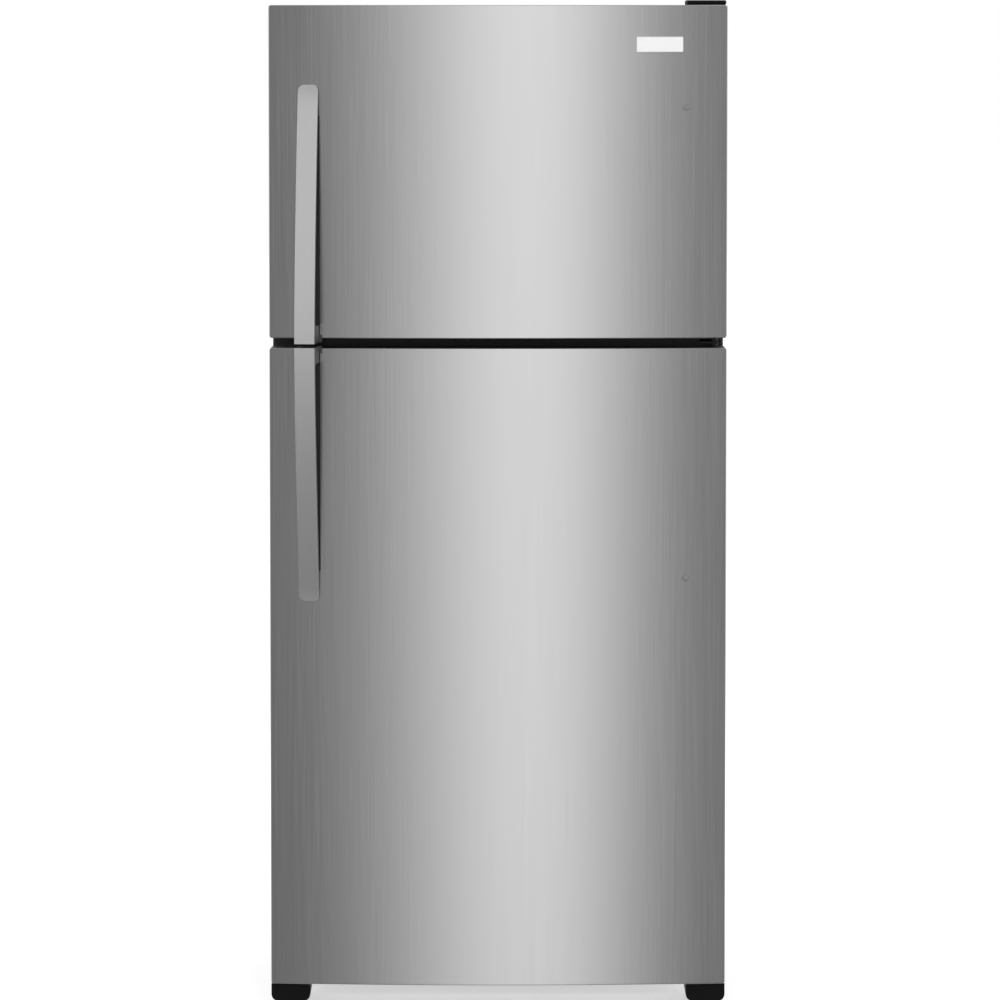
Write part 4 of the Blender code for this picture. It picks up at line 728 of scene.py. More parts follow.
def handle_shade_strip(door, near, far):
    """A black strip of painted shade that runs up the door behind a handle's bar and shows as a dark
    outline beside it, and the foot under its post.
    """
    size = sizes()
    strip_near = near + math.copysign(size.handle_fillet, far - near)
    strip_far = far - (far - near) * STRIP_SHORT
    half = size.handle_width / 2
    wide = half + size.strip_proud
    # Painted shade: the strip is wider than the bar, so its black shows as a shadow line along both sides
    # of the bar.
    strip = block(
        f"{door}_handle_strip",
        (-wide, -size.strip_thick - SEAM, min(strip_near, strip_far)),
        (wide, -SEAM, max(strip_near, strip_far)),
    )
    round_edges(strip, size.strip_thick / 3, 2)
    stand_on_door(strip, -size.handle_offset)
    finish(strip, f"{door}_door", "black_plastic", MATERIALS["strip"])
    foot = block(
        f"{door}_handle_foot",
        (-wide, -2 * size.strip_thick - SEAM, min(near, strip_near)),
        (half + 4 * size.strip_proud, -SEAM, max(near, strip_near)),
    )
    round_edges(foot, size.strip_thick / 2, 3)
    stand_on_door(foot, -size.handle_offset)
    finish(foot, f"{door}_door", "grey_plastic", MATERIALS["handle_side"])


BADGE_THICK = 2.2 * MM
BADGE_CORNER = 1.2 * MM
BADGE_SINK = 0.5 * MM


def blank_badge():
    """A blank plate with a raised rim."""
    size = sizes()
    low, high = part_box("badge")
    middle = (low.x + high.x) / 2
    half = (high.x - low.x) / 2 - BADGE_CORNER
    plate = block(
        "badge_plate",
        (-half, -BADGE_THICK - SEAM, low.z + BADGE_CORNER),
        (half, -SEAM, high.z - BADGE_CORNER),
    )
    choose(plate, lambda edge: abs(edge.verts[0].co.y - edge.verts[1].co.y) > BADGE_THICK / 2, "EDGE")
    bpy.ops.mesh.bevel(offset=BADGE_CORNER, segments=4, affect="EDGES")
    close()
    choose(plate, lambda face: face.normal.y < -0.9)
    bpy.ops.mesh.inset(thickness=size.badge_rim)
    bpy.ops.mesh.extrude_region_move(TRANSFORM_OT_translate={"value": (0, BADGE_SINK, 0)})
    bpy.ops.transform.resize(value=(0.995, 1, 0.985), center_override=(0, 0, (low.z + high.z) / 2))
    close()
    round_edges(plate, 0.25 * MM, 2, 50)
    stand_on_door(plate, middle)
    finish(plate, "freezer_door", "badge_plate", MATERIALS["badge"], "badge")


# A hole cap's flange and dome, and the steps that close the dome: share of its width, rise.
PLUG_FLANGE = 1.0 * MM
PLUG_DOME = 2.8 * MM
PLUG_STEPS = ((0.86, 0.7 * MM), (0.72, 0.45 * MM), (0.5, 0.2 * MM))


def hole_plug(door):
    """A domed cap with a thin flange, pressed into a handle hole that this hinge side doesn't use."""
    low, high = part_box(f"{door}_hole_plug")
    middle, radius = (low + high) / 2, (high.x - low.x) / 2
    flange = rod("plug_flange", radius, (0, -SEAM, middle.z), (0, -PLUG_FLANGE, middle.z), 40)
    round_edges(flange, 0.4 * MM, 2)
    dome_back = -0.9 * PLUG_FLANGE
    dome = rod("plug_dome", radius * 0.78, (0, dome_back, middle.z), (0, -PLUG_DOME, middle.z), 40)
    choose(dome, lambda face: face.normal.y < -0.9)
    for share, rise in PLUG_STEPS:
        bpy.ops.mesh.extrude_region_move(TRANSFORM_OT_translate={"value": (0, -rise, 0)})
        bpy.ops.transform.resize(value=(share, 1, share), center_override=(0, 0, middle.z))
    close()
    plug = join(f"{door}_hole_cap", [flange, dome])
    stand_on_door(plug, middle.x)
    finish(plug, f"{door}_door", "grey_plastic", MATERIALS["plug"], f"{door}_hole_plug")


# ---------------------------------------------------------------- inside the doors


def picture_frame(name, low, high, width):
    """A rectangular ring that stands upright, from a block whose two faces are inset and bridged."""
    ring = block(name, low, high)
    choose(ring, lambda face: abs(face.normal.y) > 0.9)
    bpy.ops.mesh.inset(thickness=width, use_individual=True)
    bpy.ops.mesh.bridge_edge_loops()
    close()
    return ring


# Layers of a gasket from the door outwards: share of its depth, inset, width and edge radius.
GASKET_LAYERS = (
    (0.00, 0.24, 0.0, 14 * MM, 0.8 * MM),
    (0.22, 0.46, 3.0 * MM, 8 * MM, 0.6 * MM),
    (0.42, 0.60, 1.2 * MM, 11 * MM, 0.9 * MM),
    (0.58, 1.00, 0.4 * MM, 13 * MM, 2.0 * MM),
)


def gasket(door):
    """A hollow vinyl seal: a foot in the door's groove, folded bellows and a magnet tube."""
    low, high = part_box(f"{door}_door_gasket")
    depth = high.y - low.y
    layers = []
    for start, end, inset, width, round_off in GASKET_LAYERS:
        near = (low.x + inset, low.y + depth * start, low.z + inset)
        far = (high.x - inset, low.y + depth * end, high.z - inset)
        layer = picture_frame(f"{door}_gasket_layer", near, far, width)
        layers.append(round_edges(layer, round_off, 2))
    ring = join(f"{door}_gasket_bellows", layers)
    finish(ring, f"{door}_door", "gasket_vinyl", MATERIALS["vinyl"], f"{door}_door_gasket")


BINS = (
    ("freezer_bin_lower", "freezer_door"),
    ("freezer_bin_upper", "freezer_door"),
    ("fridge_bin_lower", "fridge_door"),
    ("fridge_bin_middle", "fridge_door"),
    ("dairy_box", "fridge_door"),
)
BIN_WALL = 3 * MM
LIP_HEIGHT = 14 * MM
LIP_OVER = 1.4 * MM


def bin_lip(node, body):
    """A white rail clipped over the front edge of a clear door bin, with a groove along its top."""
    low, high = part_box(node)
    lip = block(
        f"{node}_lip",
        (low.x, high.y - BIN_WALL - 1.2 * MM, high.z - LIP_HEIGHT),
        (high.x, high.y + 0.8 * MM, high.z + LIP_OVER),
    )
    choose(lip, lambda face: face.normal.y > 0.9)
    bpy.ops.mesh.inset(thickness=3 * MM)
    bpy.ops.transform.translate(value=(0, -0.9 * MM, 0))
    close()
    round_edges(lip, 0.7 * MM, 2)
    finish(lip, body, "white_plastic", MATERIALS["white"])


# How far a ledge reaches from the liner's wall, its depth and its thickness.
LEDGE = (14 * MM, 60 * MM, 8 * MM)


def bin_bosses(door):
    """The moulded ledges of the door liner that each bin rests on, one pair for each bin."""
    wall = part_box(f"{door}_bin_lower")[1].x + SEAM
    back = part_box(f"{door}_bin_lower")[0].y
    reach, depth, thick = LEDGE
    boss = block(f"{door}_boss", (-reach, back, -thick), (0, back + depth, 0))

    def inner_lower(edge):
        return all(point.co.z < 0 and point.co.x < -reach / 2 for point in edge.verts)

    choose(boss, inner_lower, "EDGE")
    bpy.ops.mesh.bevel(offset=thick * 0.7, segments=4, affect="EDGES")
    close()
    round_edges(boss, 0.6 * MM, 2)
    floors = [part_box(node)[0].z - SEAM for node, body in BINS if body == f"{door}_door"]
    right = copies(boss, [(wall, 0, floor) for floor in floors])
    left = []
    for piece in right:
        pick(piece)
        bpy.ops.object.duplicate(linked=False)
        bpy.ops.transform.resize(value=(-1, 1, 1), center_override=(0, 0, 0))
        mirrored = settle_transform(bpy.context.object)
        choose(mirrored, anything)
        bpy.ops.mesh.normals_make_consistent(inside=False)
        close()
        left.append(mirrored)
    made = join(f"{door}_door_bin_ledges", [*right, *left])
    finish(made, f"{door}_door", "white_plastic", MATERIALS["liner"])


# ---------------------------------------------------------------- inside the compartments


TRIM_OVER = 1.2 * MM


def shelf_trims(node):
    """The moulded trims on the front and back edges of a glass shelf."""
    low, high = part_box(node)
    trim = sizes().trim
    for side, start, end in (
        ("front", low.y - 2 * MM, low.y + trim),
        ("back", high.y - trim / 2, high.y + TRIM_OVER),
    ):
        strip = block(
            f"{node}_{side}_trim",
            (low.x, start, low.z - TRIM_OVER),
            (high.x, end, high.z + TRIM_OVER),
        )
        choose(strip, lambda face: face.normal.z > 0.9)
        bpy.ops.mesh.inset(thickness=3 * MM)
        bpy.ops.transform.translate(value=(0, 0, -0.8 * MM))
        close()
        round_edges(strip, 0.9 * MM, 2)
        finish(strip, "cabinet", "white_plastic", MATERIALS["white"])


WIRE_COUNT = 27
CROSS_WIRES = (0.12, 0.5, 0.88)


def wire_shelf():
    """The freezer's shelf of vinyl-dipped steel wire."""
    size = sizes()
    low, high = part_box("freezer_shelf")
    rim, wire = size.wire_rim / 2, size.wire / 2
    level = low.z + rim
    corners = [
        (low.x + rim, low.y + rim, level),
        (high.x - rim, low.y + rim, level),
        (high.x - rim, high.y - rim, level),
        (low.x + rim, high.y - rim, level),
    ]
    parts = []
    for start, end in zip(corners, corners[1:] + corners[:1]):
        parts.append(round_edges(rod("rim", rim, start, end, 12), rim * 0.6, 2, 60))
    top = high.z - wire
    first, last = low.x + 4 * rim, high.x - 4 * rim
    thin = rod("thin", wire, (0, low.y + rim, top), (0, high.y - rim, top), 8)
    pitch = (last - first) / (WIRE_COUNT - 1)
    parts += copies(thin, [(first + pitch * index, 0, 0) for index in range(WIRE_COUNT)])
    under = top - 2 * wire
    cross = rod("cross", wire, (low.x + rim, 0, under), (high.x - rim, 0, under), 8)
    parts += copies(cross, [(0, low.y + (high.y - low.y) * share, 0) for share in CROSS_WIRES])
    shelf = join("freezer_wire_shelf", parts)
    finish(shelf, "cabinet", "white_plastic", MATERIALS["dipped"], "freezer_shelf")


def guard(name, centre, turn, rings, spokes, wire, slot, material):
    """A round wire guard: rings of several radii, and spokes across them."""
    centre = Vector(centre)
    across = Vector((1, 0, 0)) if turn[0] else Vector((0, 1, 0))
    up = Vector((0, 0, 1))
    parts = [hoop(f"{name}_ring", radius, wire, centre, turn) for radius in rings]
    for index in range(spokes):
        angle = math.pi * 2 * index / spokes
        outwards = across * math.cos(angle) + up * math.sin(angle)
        parts.append(
            rod(f"{name}_spoke", wire, centre + outwards * rings[0], centre + outwards * rings[-1], 8)
        )
    return finish(join(name, parts), "cabinet", slot, material)


# Each fan guard's rings, from the smallest to the largest, and the radius of its wire.
EVAPORATOR_RINGS = tuple(MM * radius for radius in (10, 18, 26, 34, 42, 51))
EVAPORATOR_WIRE = 1.1 * MM
CONDENSER_RINGS = tuple(MM * radius for radius in (12, 24, 36, 48, 60))
CONDENSER_WIRE = 1.3 * MM


def fan_guards():
    """The guards in front of the two fans."""
    low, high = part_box("evaporator_fan_blade")
    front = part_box("evaporator_cover")[0].y
    place = (0, front - EVAPORATOR_WIRE - 0.1 * MM, (low.z + high.z) / 2)
    quarter = math.pi / 2
    guard(
        "evaporator_fan_guard", place, (quarter, 0, 0), EVAPORATOR_RINGS, 12, EVAPORATOR_WIRE,
        "white_plastic", MATERIALS["white"],
    )
    low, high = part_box("condenser_fan_blade")
    motor_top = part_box("condenser_fan_motor")[1].z
    place = (low.x - 5 * MM, (low.y + high.y) / 2, motor_top - 25 * MM)
    guard(
        "condenser_fan_guard", place, (0, quarter, 0), CONDENSER_RINGS, 8, CONDENSER_WIRE,
        "condenser_paint", MATERIALS["enamel"],
    )


TICKS = 11
TICK_SWEEP = 260
# A mark starts this far from its dial's axis, and reaches this far, and a step more for each next one.
TICK_START = 15.8 * MM
TICK_END = 17.4 * MM
TICK_STEP = 0.1 * MM


def dial_marks():
    """Raised marks round each dial, getting longer as the setting gets colder."""
    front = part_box("control_housing")[0].y
    for dial in ("fridge_dial", "freezer_dial"):
        low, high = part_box(dial)
        centre = Vector(((low.x + high.x) / 2, front, (low.z + high.z) / 2))
        parts = []
        for index in range(TICKS):
            angle = math.radians(90 + TICK_SWEEP / 2 - TICK_SWEEP * index / (TICKS - 1))
            outwards = Vector((math.cos(angle), 0, math.sin(angle)))
            tall = TICK_END + TICK_STEP * index - TICK_START
            mark = block("mark", (-0.4 * MM, -0.3 * MM, 0), (0.4 * MM, 0.1 * MM, tall))
            mark.location = centre + outwards * TICK_START
            mark.rotation_euler = (0, math.pi / 2 - angle, 0)
            parts.append(settle_transform(mark))
        made = join(f"{dial}_marks", parts)
        finish(round_edges(made, 0.12 * MM, 1), "cabinet", "grey_plastic", MATERIALS["grey"])


# A drawer's pull: share of the drawer's width on each side of its middle, and its heights from the rim.
PULL_REACH = 0.37
PULL_BOTTOM = 23 * MM
PULL_TOP = 12 * MM


def drawer_front(side):
    """The white pull along a clear drawer's front, hollow underneath for fingers."""
    low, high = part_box(f"crisper_drawer_{side}")
    middle, reach = (low.x + high.x) / 2, (high.x - low.x) * PULL_REACH
    pull = block(
        f"crisper_{side}_pull",
        (middle - reach, low.y - 1.0 * MM, high.z - PULL_BOTTOM),
        (middle + reach, low.y + 7.8 * MM, high.z - PULL_TOP),
    )
    choose(pull, lambda face: face.normal.z < -0.9)
    bpy.ops.mesh.inset(thickness=2 * MM)
    bpy.ops.mesh.extrude_region_move(TRANSFORM_OT_translate={"value": (0, 0, 2.0 * MM)})
    close()
    round_edges(pull, 0.8 * MM, 3)
    finish(pull, f"crisper_drawer_{side}", "white_plastic", MATERIALS["white"])


# ---------------------------------------------------------------- back and machine compartment


SCREW_HEAD = 4.2 * MM
SCREW_HEIGHT = 3.6 * MM
WASHER = 6.2 * MM
WASHER_THICK = 1.2 * MM


def screw_heads(name, places):
    """Hexagon screws with a washer, driven in from the back."""
    head = rod("head", SCREW_HEAD, (0, WASHER_THICK - 0.2 * MM, 0), (0, SCREW_HEIGHT, 0), 6)
    round_edges(head, 0.5 * MM, 2)
    washer = rod("washer", WASHER, (0, 0, 0), (0, WASHER_THICK, 0), 20)
    round_edges(washer, 0.4 * MM, 2)
    screw = join("screw", [head, washer])
    made = join(name, copies(screw, places))
    finish(made, "cabinet", "zinc_steel", MATERIALS["plated"])


def back_screws():
    """The screws round the back panel and the rear cover."""
    low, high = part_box("back_panel")
    side, margin, rows = high.x - 11 * MM, 12 * MM, 6
    step = (high.z - low.z - 2 * margin) / (rows - 1)
    places = [
        (x, high.y, low.z + margin + step * row) for x in (-side, side) for row in range(rows)
    ]
    places += [(x, high.y, high.z - margin) for x in (-0.12, 0.12)]
    screw_heads("back_panel_screws", places)
    low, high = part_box("rear_access_cover")
    side = high.x - 11 * MM
    places = [(x, high.y, z) for x in (-side, 0, side) for z in (low.z + margin, high.z - margin)]
    screw_heads("rear_cover_screws", places)


COPPER_RADIUS = 3.2 * MM


def refrigerant_pipes():
    """Bent copper from the compressor to the coil, the return pipe, and the sealed filling stub."""
    low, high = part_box("compressor")
    coil_low, coil_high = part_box("condenser_coil")
    middle = (low + high) / 2
    shoulder = high.z - 34 * MM
    routes = {
        "discharge_pipe": (
            (middle.x + 50 * MM, middle.y, shoulder),
            (middle.x + 62 * MM, middle.y + 10 * MM, shoulder + 22 * MM),
            (middle.x + 84 * MM, middle.y + 44 * MM, high.z + 6 * MM),
            (coil_low.x + 10 * MM, middle.y + 50 * MM, high.z + 10 * MM),
            (coil_low.x + 60 * MM, middle.y + 34 * MM, high.z + 4 * MM),
            (coil_low.x + 66 * MM, coil_high.y - 3 * MM, coil_high.z - 2 * MM),
        ),
        "suction_pipe": (
            (middle.x - 50 * MM, middle.y + 8 * MM, shoulder),
            (middle.x - 66 * MM, middle.y + 16 * MM, shoulder + 24 * MM),
            (middle.x - 72 * MM, middle.y + 40 * MM, high.z + 14 * MM),
            (middle.x - 70 * MM, middle.y + 58 * MM, high.z + 44 * MM),
        ),
        "service_stub": (
            (middle.x - 18 * MM, middle.y + 48 * MM, shoulder),
            (middle.x - 20 * MM, middle.y + 60 * MM, shoulder + 16 * MM),
            (middle.x - 21 * MM, middle.y + 66 * MM, shoulder + 48 * MM),
        ),
    }
    for name, route in routes.items():
        finish(tube(name, route, COPPER_RADIUS), "cabinet", "zinc_steel", MATERIALS["copper"])


DRIER_RADIUS = 9 * MM
# The steps that close each of the drier's ends: share of its width, rise.
DRIER_NECK = ((0.7, 7 * MM), (0.55, 6 * MM), (0.95, 9 * MM))


def filter_drier():
    """A spun copper cartridge with necked ends, on the coil's outlet."""
    low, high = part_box("condenser_coil")
    x, y = high.x + 18 * MM, (low.y + high.y) / 2
    body = rod("filter_drier", DRIER_RADIUS, (x, y, low.z + 40 * MM), (x, y, low.z + 105 * MM), 24)
    for sign in (-1, 1):
        choose(body, lambda face: face.normal.z * sign > 0.9)
        for share, rise in DRIER_NECK:
            bpy.ops.mesh.extrude_region_move(TRANSFORM_OT_translate={"value": (0, 0, sign * rise)})
            bpy.ops.transform.resize(value=(share, share, 1), center_override=(x, y, 0))
        close()
    finish(body, "cabinet", "zinc_steel", MATERIALS["copper"])


def terminal_box():
    """The clipped cover over the compressor's terminals."""
    low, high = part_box("compressor")
    middle = (low + high) / 2
    cover = block(
        "compressor_terminal_cover",
        (high.x - 6 * MM, middle.y - 24 * MM, low.z + 52 * MM),
        (high.x + 20 * MM, middle.y + 24 * MM, low.z + 108 * MM),
    )
    choose(cover, lambda face: face.normal.x > 0.9)
    bpy.ops.mesh.inset(thickness=5 * MM)
    bpy.ops.mesh.extrude_region_move(TRANSFORM_OT_translate={"value": (3 * MM, 0, 0)})
    bpy.ops.transform.resize(value=(1, 0.9, 0.9))
    close()
    round_edges(cover, 2.2 * MM, 3)
    finish(cover, "cabinet", "black_plastic", MATERIALS["black"])


# ---------------------------------------------------------------- stage

# Metres from the doors, degrees below level, lens and sensor in millimetres, and the lens's shift.
CAMERA_AWAY = 10.0
CAMERA_DOWN = 4.582
CAMERA_LENS = 217.87
CAMERA_SHIFT = (0.002, -0.010)
SENSOR = 36.0

# The studio as brushed steel sees it: a tall softbox, a little right of straight ahead, that fades
# slowly to its left and faster to its right, between dark flats. Degrees, and brightness.
SOFTBOX_MIDDLE = 3
SOFTBOX_FADES = (9.0, 5.8)
SOFTBOX_STEPS = (-15, -11, -8, -5, -2, 1, 3, 5, 8, 11, 14)
FLATS_LEVEL = 0.10
FLATS_EDGE = 21
WALLS = ((38, 0.62), (60, 0.80))
# Upwards: degrees above level, and share of that brightness.
PANEL_HEIGHT = (
    (-60, 0.30), (-33, 0.08), (-28, 0.03), (-24, 0.06), (-20, 0.21), (-12, 0.60), (-8, 0.67),
    (0, 0.72), (3, 0.75), (11, 0.96), (18, 0.98), (24, 0.90), (32, 0.62), (45, 0.45), (60, 0.50),
)
# Round the sides, degrees across against how far the walls' even level takes over from the panel.
SIDE_WALLS = ((-60, 1.0), (-42, 1.0), (-27, 0.0), (27, 0.0), (42, 1.0), (60, 1.0))
SIDE_LEVEL = 0.45
PANEL_STRENGTH = 2.1
RAMP_DEGREES = 60
# How bright the white room is on painted and moulded surfaces, and how much the floor glows.
EVEN_LEVEL = 0.62
FLOOR_GLOW = 0.56


def front_panel():
    """The softbox, its flats and the walls beyond them, as degrees across and brightness."""
    softbox = []
    for degrees in SOFTBOX_STEPS:
        away = degrees - SOFTBOX_MIDDLE
        fade = SOFTBOX_FADES[0] if away < 0 else SOFTBOX_FADES[1]
        softbox.append((degrees, FLATS_LEVEL + (1 - FLATS_LEVEL) * math.exp(-((away / fade) ** 2))))
    right = [(FLATS_EDGE, FLATS_LEVEL), *WALLS]
    left = [(-degrees, level) for degrees, level in reversed(right)]
    return (*left, *softbox, *right)


def degree_ramp(tree, radians_output, table):
    """A ramp over degrees from -RAMP_DEGREES to RAMP_DEGREES."""
    reach = math.radians(RAMP_DEGREES)
    share = add_node(
        tree,
        "ShaderNodeMapRange",
        values={"From Min": -reach, "From Max": reach},
        links={"Value": radians_output},
    )
    stops = [((degrees + RAMP_DEGREES) / (2 * RAMP_DEGREES), level) for degrees, level in table]
    return add_node(tree, "ShaderNodeValToRGB", links={"Fac": share.outputs["Result"]}, stops=stops)


def make_world():
    """White behind the object, an even level on it, and a soft panel for metal to mirror."""
    world = bpy.data.worlds.new("studio")
    world.use_nodes = True
    bpy.context.scene.world = world
    tree = world.node_tree
    tree.nodes.clear()
    ray = add_node(tree, "ShaderNodeLightPath")
    place = add_node(tree, "ShaderNodeTexCoord")
    axes = add_node(tree, "ShaderNodeSeparateXYZ", links={0: place.outputs["Generated"]})
    ahead = add_node(
        tree, "ShaderNodeMath", operation="MULTIPLY", values={1: -1.0}, links={0: axes.outputs["Y"]}
    )
    across = add_node(
        tree, "ShaderNodeMath", operation="ARCTAN2", links={0: axes.outputs["X"], 1: ahead.outputs[0]}
    )
    upwards = add_node(tree, "ShaderNodeMath", operation="ARCSINE", links={0: axes.outputs["Z"]})
    panel = degree_ramp(tree, across.outputs[0], front_panel())
    height = degree_ramp(tree, upwards.outputs[0], PANEL_HEIGHT)
    walls = degree_ramp(tree, across.outputs[0], SIDE_WALLS)
    room = add_node(
        tree,
        "ShaderNodeMix",
        values={"B": SIDE_LEVEL},
        links={"Factor": walls.outputs["Color"], "A": height.outputs["Color"]},
    )
    level = add_node(
        tree,
        "ShaderNodeMath",
        operation="MULTIPLY",
        links={0: panel.outputs["Color"], 1: room.outputs["Result"]},
    )
    mirrored = add_node(
        tree,
        "ShaderNodeMath",
        operation="MULTIPLY",
        values={1: PANEL_STRENGTH},
        links={0: level.outputs[0]},
    )
    even = add_node(tree, "ShaderNodeBackground", values={"Color": (1, 1, 1, 1), "Strength": EVEN_LEVEL})
    studio = add_node(
        tree,
        "ShaderNodeBackground",
        values={"Color": (1, 1, 1, 1)},
        links={"Strength": mirrored.outputs[0]},
    )
    white = add_node(tree, "ShaderNodeBackground", values={"Color": (1, 1, 1, 1), "Strength": 1.0})
    glossy = add_node(
        tree,
        "ShaderNodeMixShader",
        links={0: ray.outputs["Is Glossy Ray"], 1: even.outputs[0], 2: studio.outputs[0]},
    )
    seen = add_node(
        tree,
        "ShaderNodeMath",
        operation="MAXIMUM",
        links={0: ray.outputs["Is Camera Ray"], 1: ray.outputs["Is Transmission Ray"]},
    )
    whole = add_node(
        tree,
        "ShaderNodeMixShader",
        links={0: seen.outputs[0], 1: glossy.outputs[0], 2: white.outputs[0]},
    )
    add_node(tree, "ShaderNodeOutputWorld", links={"Surface": whole.outputs[0]})


def make_floor():
    """A pale painted floor that keeps the shadow and that polished metal doesn't mirror."""
    low, high = CAD_BOX
    deselect()
    bpy.ops.mesh.primitive_plane_add(size=60, location=((low.x + high.x) / 2, (low.y + high.y) / 2, 0))
    floor = name_new("studio_floor")
    settle_transform(floor)
    material = bpy.data.materials.new("painted_studio_floor")
    material.use_nodes = True
    tree = material.node_tree
    tree.nodes.clear()
    ray = add_node(tree, "ShaderNodeLightPath")
    place = add_node(tree, "ShaderNodeTexCoord")
    mottle = add_node(
        tree, "ShaderNodeTexNoise", values={"Scale": 2.0}, links={"Vector": place.outputs["Object"]}
    )
    tone = add_node(
        tree,
        "ShaderNodeValToRGB",
        links={"Fac": mottle.outputs["Fac"]},
        stops=((0.3, linear("E9E9E9")), (0.7, linear("EEEEEE"))),
    )
    paint = add_node(tree, "ShaderNodeBsdfDiffuse", links={"Color": tone.outputs["Color"]})
    glow = add_node(
        tree,
        "ShaderNodeEmission",
        values={"Color": (1, 1, 1, 1)},
        links={"Strength": ray.outputs["Is Camera Ray"]},
    )
    dim = add_node(tree, "ShaderNodeEmission", values={"Color": (1, 1, 1, 1), "Strength": 0.0})
    white = add_node(
        tree, "ShaderNodeMixShader", values={0: FLOOR_GLOW}, links={1: dim.outputs[0], 2: glow.outputs[0]}
    )
    both = add_node(tree, "ShaderNodeAddShader", links={0: paint.outputs[0], 1: white.outputs[0]})
    unseen = add_node(tree, "ShaderNodeBsdfTransparent")
    surface = add_node(
        tree,
        "ShaderNodeMixShader",
        links={0: ray.outputs["Is Glossy Ray"], 1: both.outputs[0], 2: unseen.outputs[0]},
    )
    add_node(tree, "ShaderNodeOutputMaterial", links={"Surface": surface.outputs[0]})
    floor.data.materials.append(material)


# Soft lamps: name, place, aim, side in metres, watts.
LAMPS = (
    ("key_softbox", (-2.6, -3.4, 3.4), (0, 0, 0.9), 2.4, 60),
    ("fill_softbox", (3.2, -2.8, 2.2), (0, 0, 0.8), 2.6, 34),
    ("back_softbox", (0.8, 3.6, 3.0), (0, 0, 0.9), 2.6, 44),
)


def make_lamps():
    """The soft lamps that the object's metal doesn't mirror."""
    for name, place, aim, side, power in LAMPS:
        data = bpy.data.lights.new(name, "AREA")
        data.size = side
        data.energy = power
        lamp = bpy.data.objects.new(name, data)
        bpy.context.scene.collection.objects.link(lamp)
        lamp.location = place
        lamp.rotation_euler = (Vector(aim) - Vector(place)).to_track_quat("-Z", "Y").to_euler()
        lamp.visible_glossy = False
        lamp.visible_camera = False


def make_camera():
    """A long lens level with the top of the doors, looking slightly down."""
    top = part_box("freezer_door_panel")[1]
    side_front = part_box("freezer_door_panel")[0].y + sizes().door_bulge
    data = bpy.data.cameras.new("camera")
    data.lens = CAMERA_LENS
    data.sensor_width = SENSOR
    data.shift_x, data.shift_y = CAMERA_SHIFT
    data.clip_end = 100
    camera = bpy.data.objects.new("camera", data)
    bpy.context.scene.collection.objects.link(camera)
    camera.location = (0, side_front - CAMERA_AWAY, top.z)
    camera.rotation_euler = (math.radians(90 - CAMERA_DOWN), 0, 0)
    bpy.context.scene.camera = camera


# ---------------------------------------------------------------- operators and sidebar


class REFRIGERATOR_OT_stage(bpy.types.Operator):
    """Makes the floor, the studio light and the camera"""

    bl_idname = "refrigerator.stage"
    bl_label = "Stage"
    bl_options = {"REGISTER", "UNDO"}

    def execute(self, context):
        make_world()
        make_floor()
        make_lamps()
        make_camera()
        bpy.context.scene.view_settings.view_transform = "Standard"
        return {"FINISHED"}


class REFRIGERATOR_OT_finishes(bpy.types.Operator):
    """Makes the materials and gives each carried-over piece its own"""

    bl_idname = "refrigerator.finishes"
    bl_label = "Finishes"
    bl_options = {"REGISTER", "UNDO"}

    def execute(self, context):
        MATERIALS.update(make_materials())
        for finish_name, nodes in NODE_FINISHES.items():
            for node in nodes:
                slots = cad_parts[node].data.materials
                slots.clear()
                slots.append(MATERIALS[finish_name])
        return {"FINISHED"}


class REFRIGERATOR_OT_doors(bpy.types.Operator):
    """Folds the two stainless door skins"""

    bl_idname = "refrigerator.doors"
    bl_label = "Door skins"
    bl_options = {"REGISTER", "UNDO"}

    def execute(self, context):
        for door in DOORS:
            door_skin(door)
        return {"FINISHED"}


class REFRIGERATOR_OT_handles(bpy.types.Operator):
    """Models the two handles, the black strip of painted shade behind them, the hole caps and the blank
    badge
    """

    bl_idname = "refrigerator.handles"
    bl_label = "Handles and badge"
    bl_options = {"REGISTER", "UNDO"}

    def execute(self, context):
        for door in DOORS:
            handle(door)
            hole_plug(door)
        blank_badge()
        return {"FINISHED"}


class REFRIGERATOR_OT_door_insides(bpy.types.Operator):
    """Models the gaskets, bin rails and the ledges that the bins rest on"""

    bl_idname = "refrigerator.door_insides"
    bl_label = "Door insides"
    bl_options = {"REGISTER", "UNDO"}

    def execute(self, context):
        for door in DOORS:
            gasket(door)
            bin_bosses(door)
        for node, body in BINS:
            bin_lip(node, body)
        return {"FINISHED"}


class REFRIGERATOR_OT_shelves(bpy.types.Operator):
    """Models the wire shelf, the glass shelves' trims and the drawers' pulls"""

    bl_idname = "refrigerator.shelves"
    bl_label = "Shelves and drawers"
    bl_options = {"REGISTER", "UNDO"}

    def execute(self, context):
        wire_shelf()
        for node in ("shelf_upper", "shelf_lower", "crisper_cover"):
            shelf_trims(node)
        for side in ("left", "right"):
            drawer_front(side)
        return {"FINISHED"}


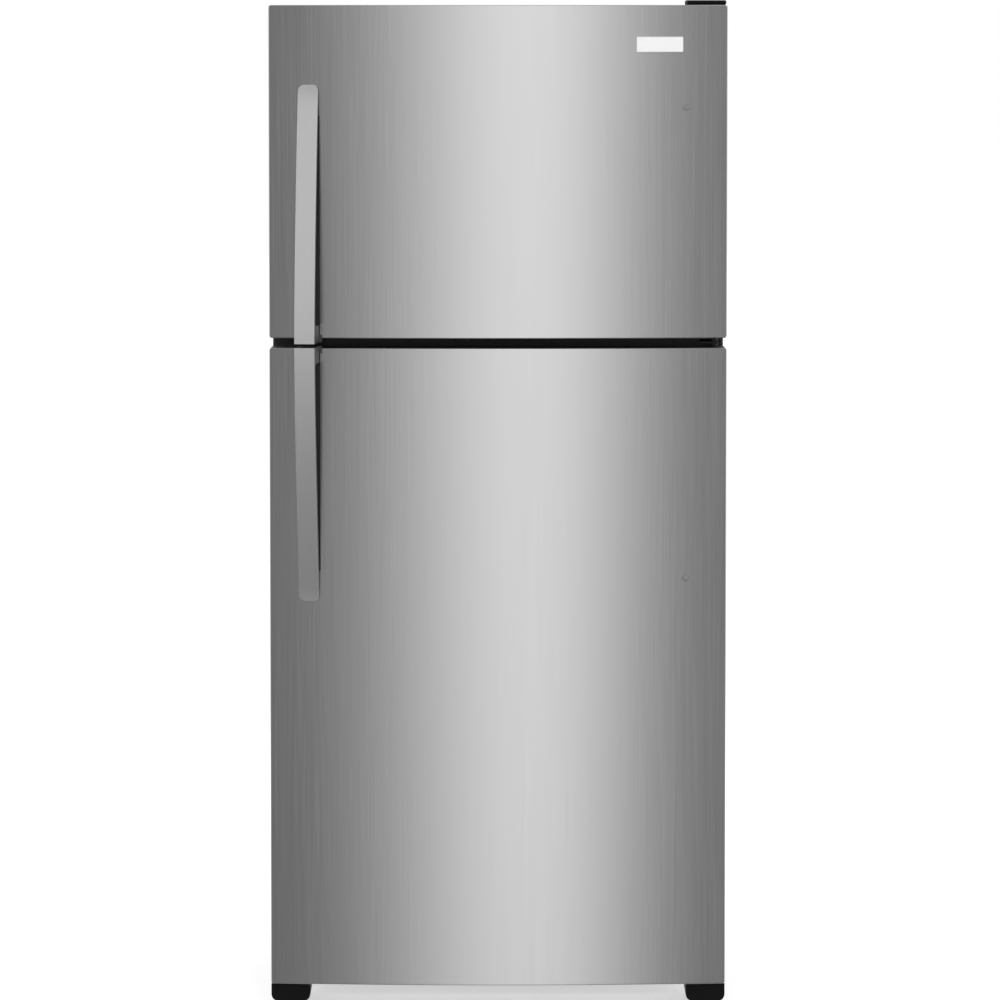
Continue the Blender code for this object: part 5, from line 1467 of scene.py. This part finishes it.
class REFRIGERATOR_OT_cooling(bpy.types.Operator):
    """Models the fan guards, dial marks, pipes, filter drier and terminal cover"""

    bl_idname = "refrigerator.cooling"
    bl_label = "Controls and cooling"
    bl_options = {"REGISTER", "UNDO"}

    def execute(self, context):
        fan_guards()
        dial_marks()
        refrigerant_pipes()
        filter_drier()
        terminal_box()
        return {"FINISHED"}


class REFRIGERATOR_OT_back(bpy.types.Operator):
    """Drives the screws of the back panel and rear cover"""

    bl_idname = "refrigerator.back"
    bl_label = "Back screws"
    bl_options = {"REGISTER", "UNDO"}

    def execute(self, context):
        back_screws()
        return {"FINISHED"}


STEPS = (
    REFRIGERATOR_OT_finishes,
    REFRIGERATOR_OT_doors,
    REFRIGERATOR_OT_handles,
    REFRIGERATOR_OT_door_insides,
    REFRIGERATOR_OT_shelves,
    REFRIGERATOR_OT_cooling,
    REFRIGERATOR_OT_back,
    REFRIGERATOR_OT_stage,
)


class REFRIGERATOR_PT_sidebar(bpy.types.Panel):
    """Lists the pieces and their sizes and colours"""

    bl_label = "Refrigerator"
    bl_idname = "REFRIGERATOR_PT_sidebar"
    bl_space_type = "VIEW_3D"
    bl_region_type = "UI"
    bl_category = "Refrigerator"

    def draw(self, context):
        for step in STEPS:
            self.layout.operator(step.bl_idname)
        for group in (context.scene.refrigerator_sizes, context.scene.refrigerator_colours):
            box = self.layout.box()
            for key in group.__annotations__:
                box.prop(group, key)


CLASSES = (RefrigeratorSizes, RefrigeratorColours, *STEPS, REFRIGERATOR_PT_sidebar)


def register():
    for item in CLASSES:
        bpy.utils.register_class(item)
    bpy.types.Scene.refrigerator_sizes = bpy.props.PointerProperty(type=RefrigeratorSizes)
    bpy.types.Scene.refrigerator_colours = bpy.props.PointerProperty(type=RefrigeratorColours)


def unregister():
    del bpy.types.Scene.refrigerator_sizes
    del bpy.types.Scene.refrigerator_colours
    for item in reversed(CLASSES):
        bpy.utils.unregister_class(item)


def main():
    """Makes every piece in order."""
    register()
    for step in STEPS:
        group, name = step.bl_idname.split(".")
        getattr(getattr(bpy.ops, group), name)()


if __name__ == "__main__":
    main()
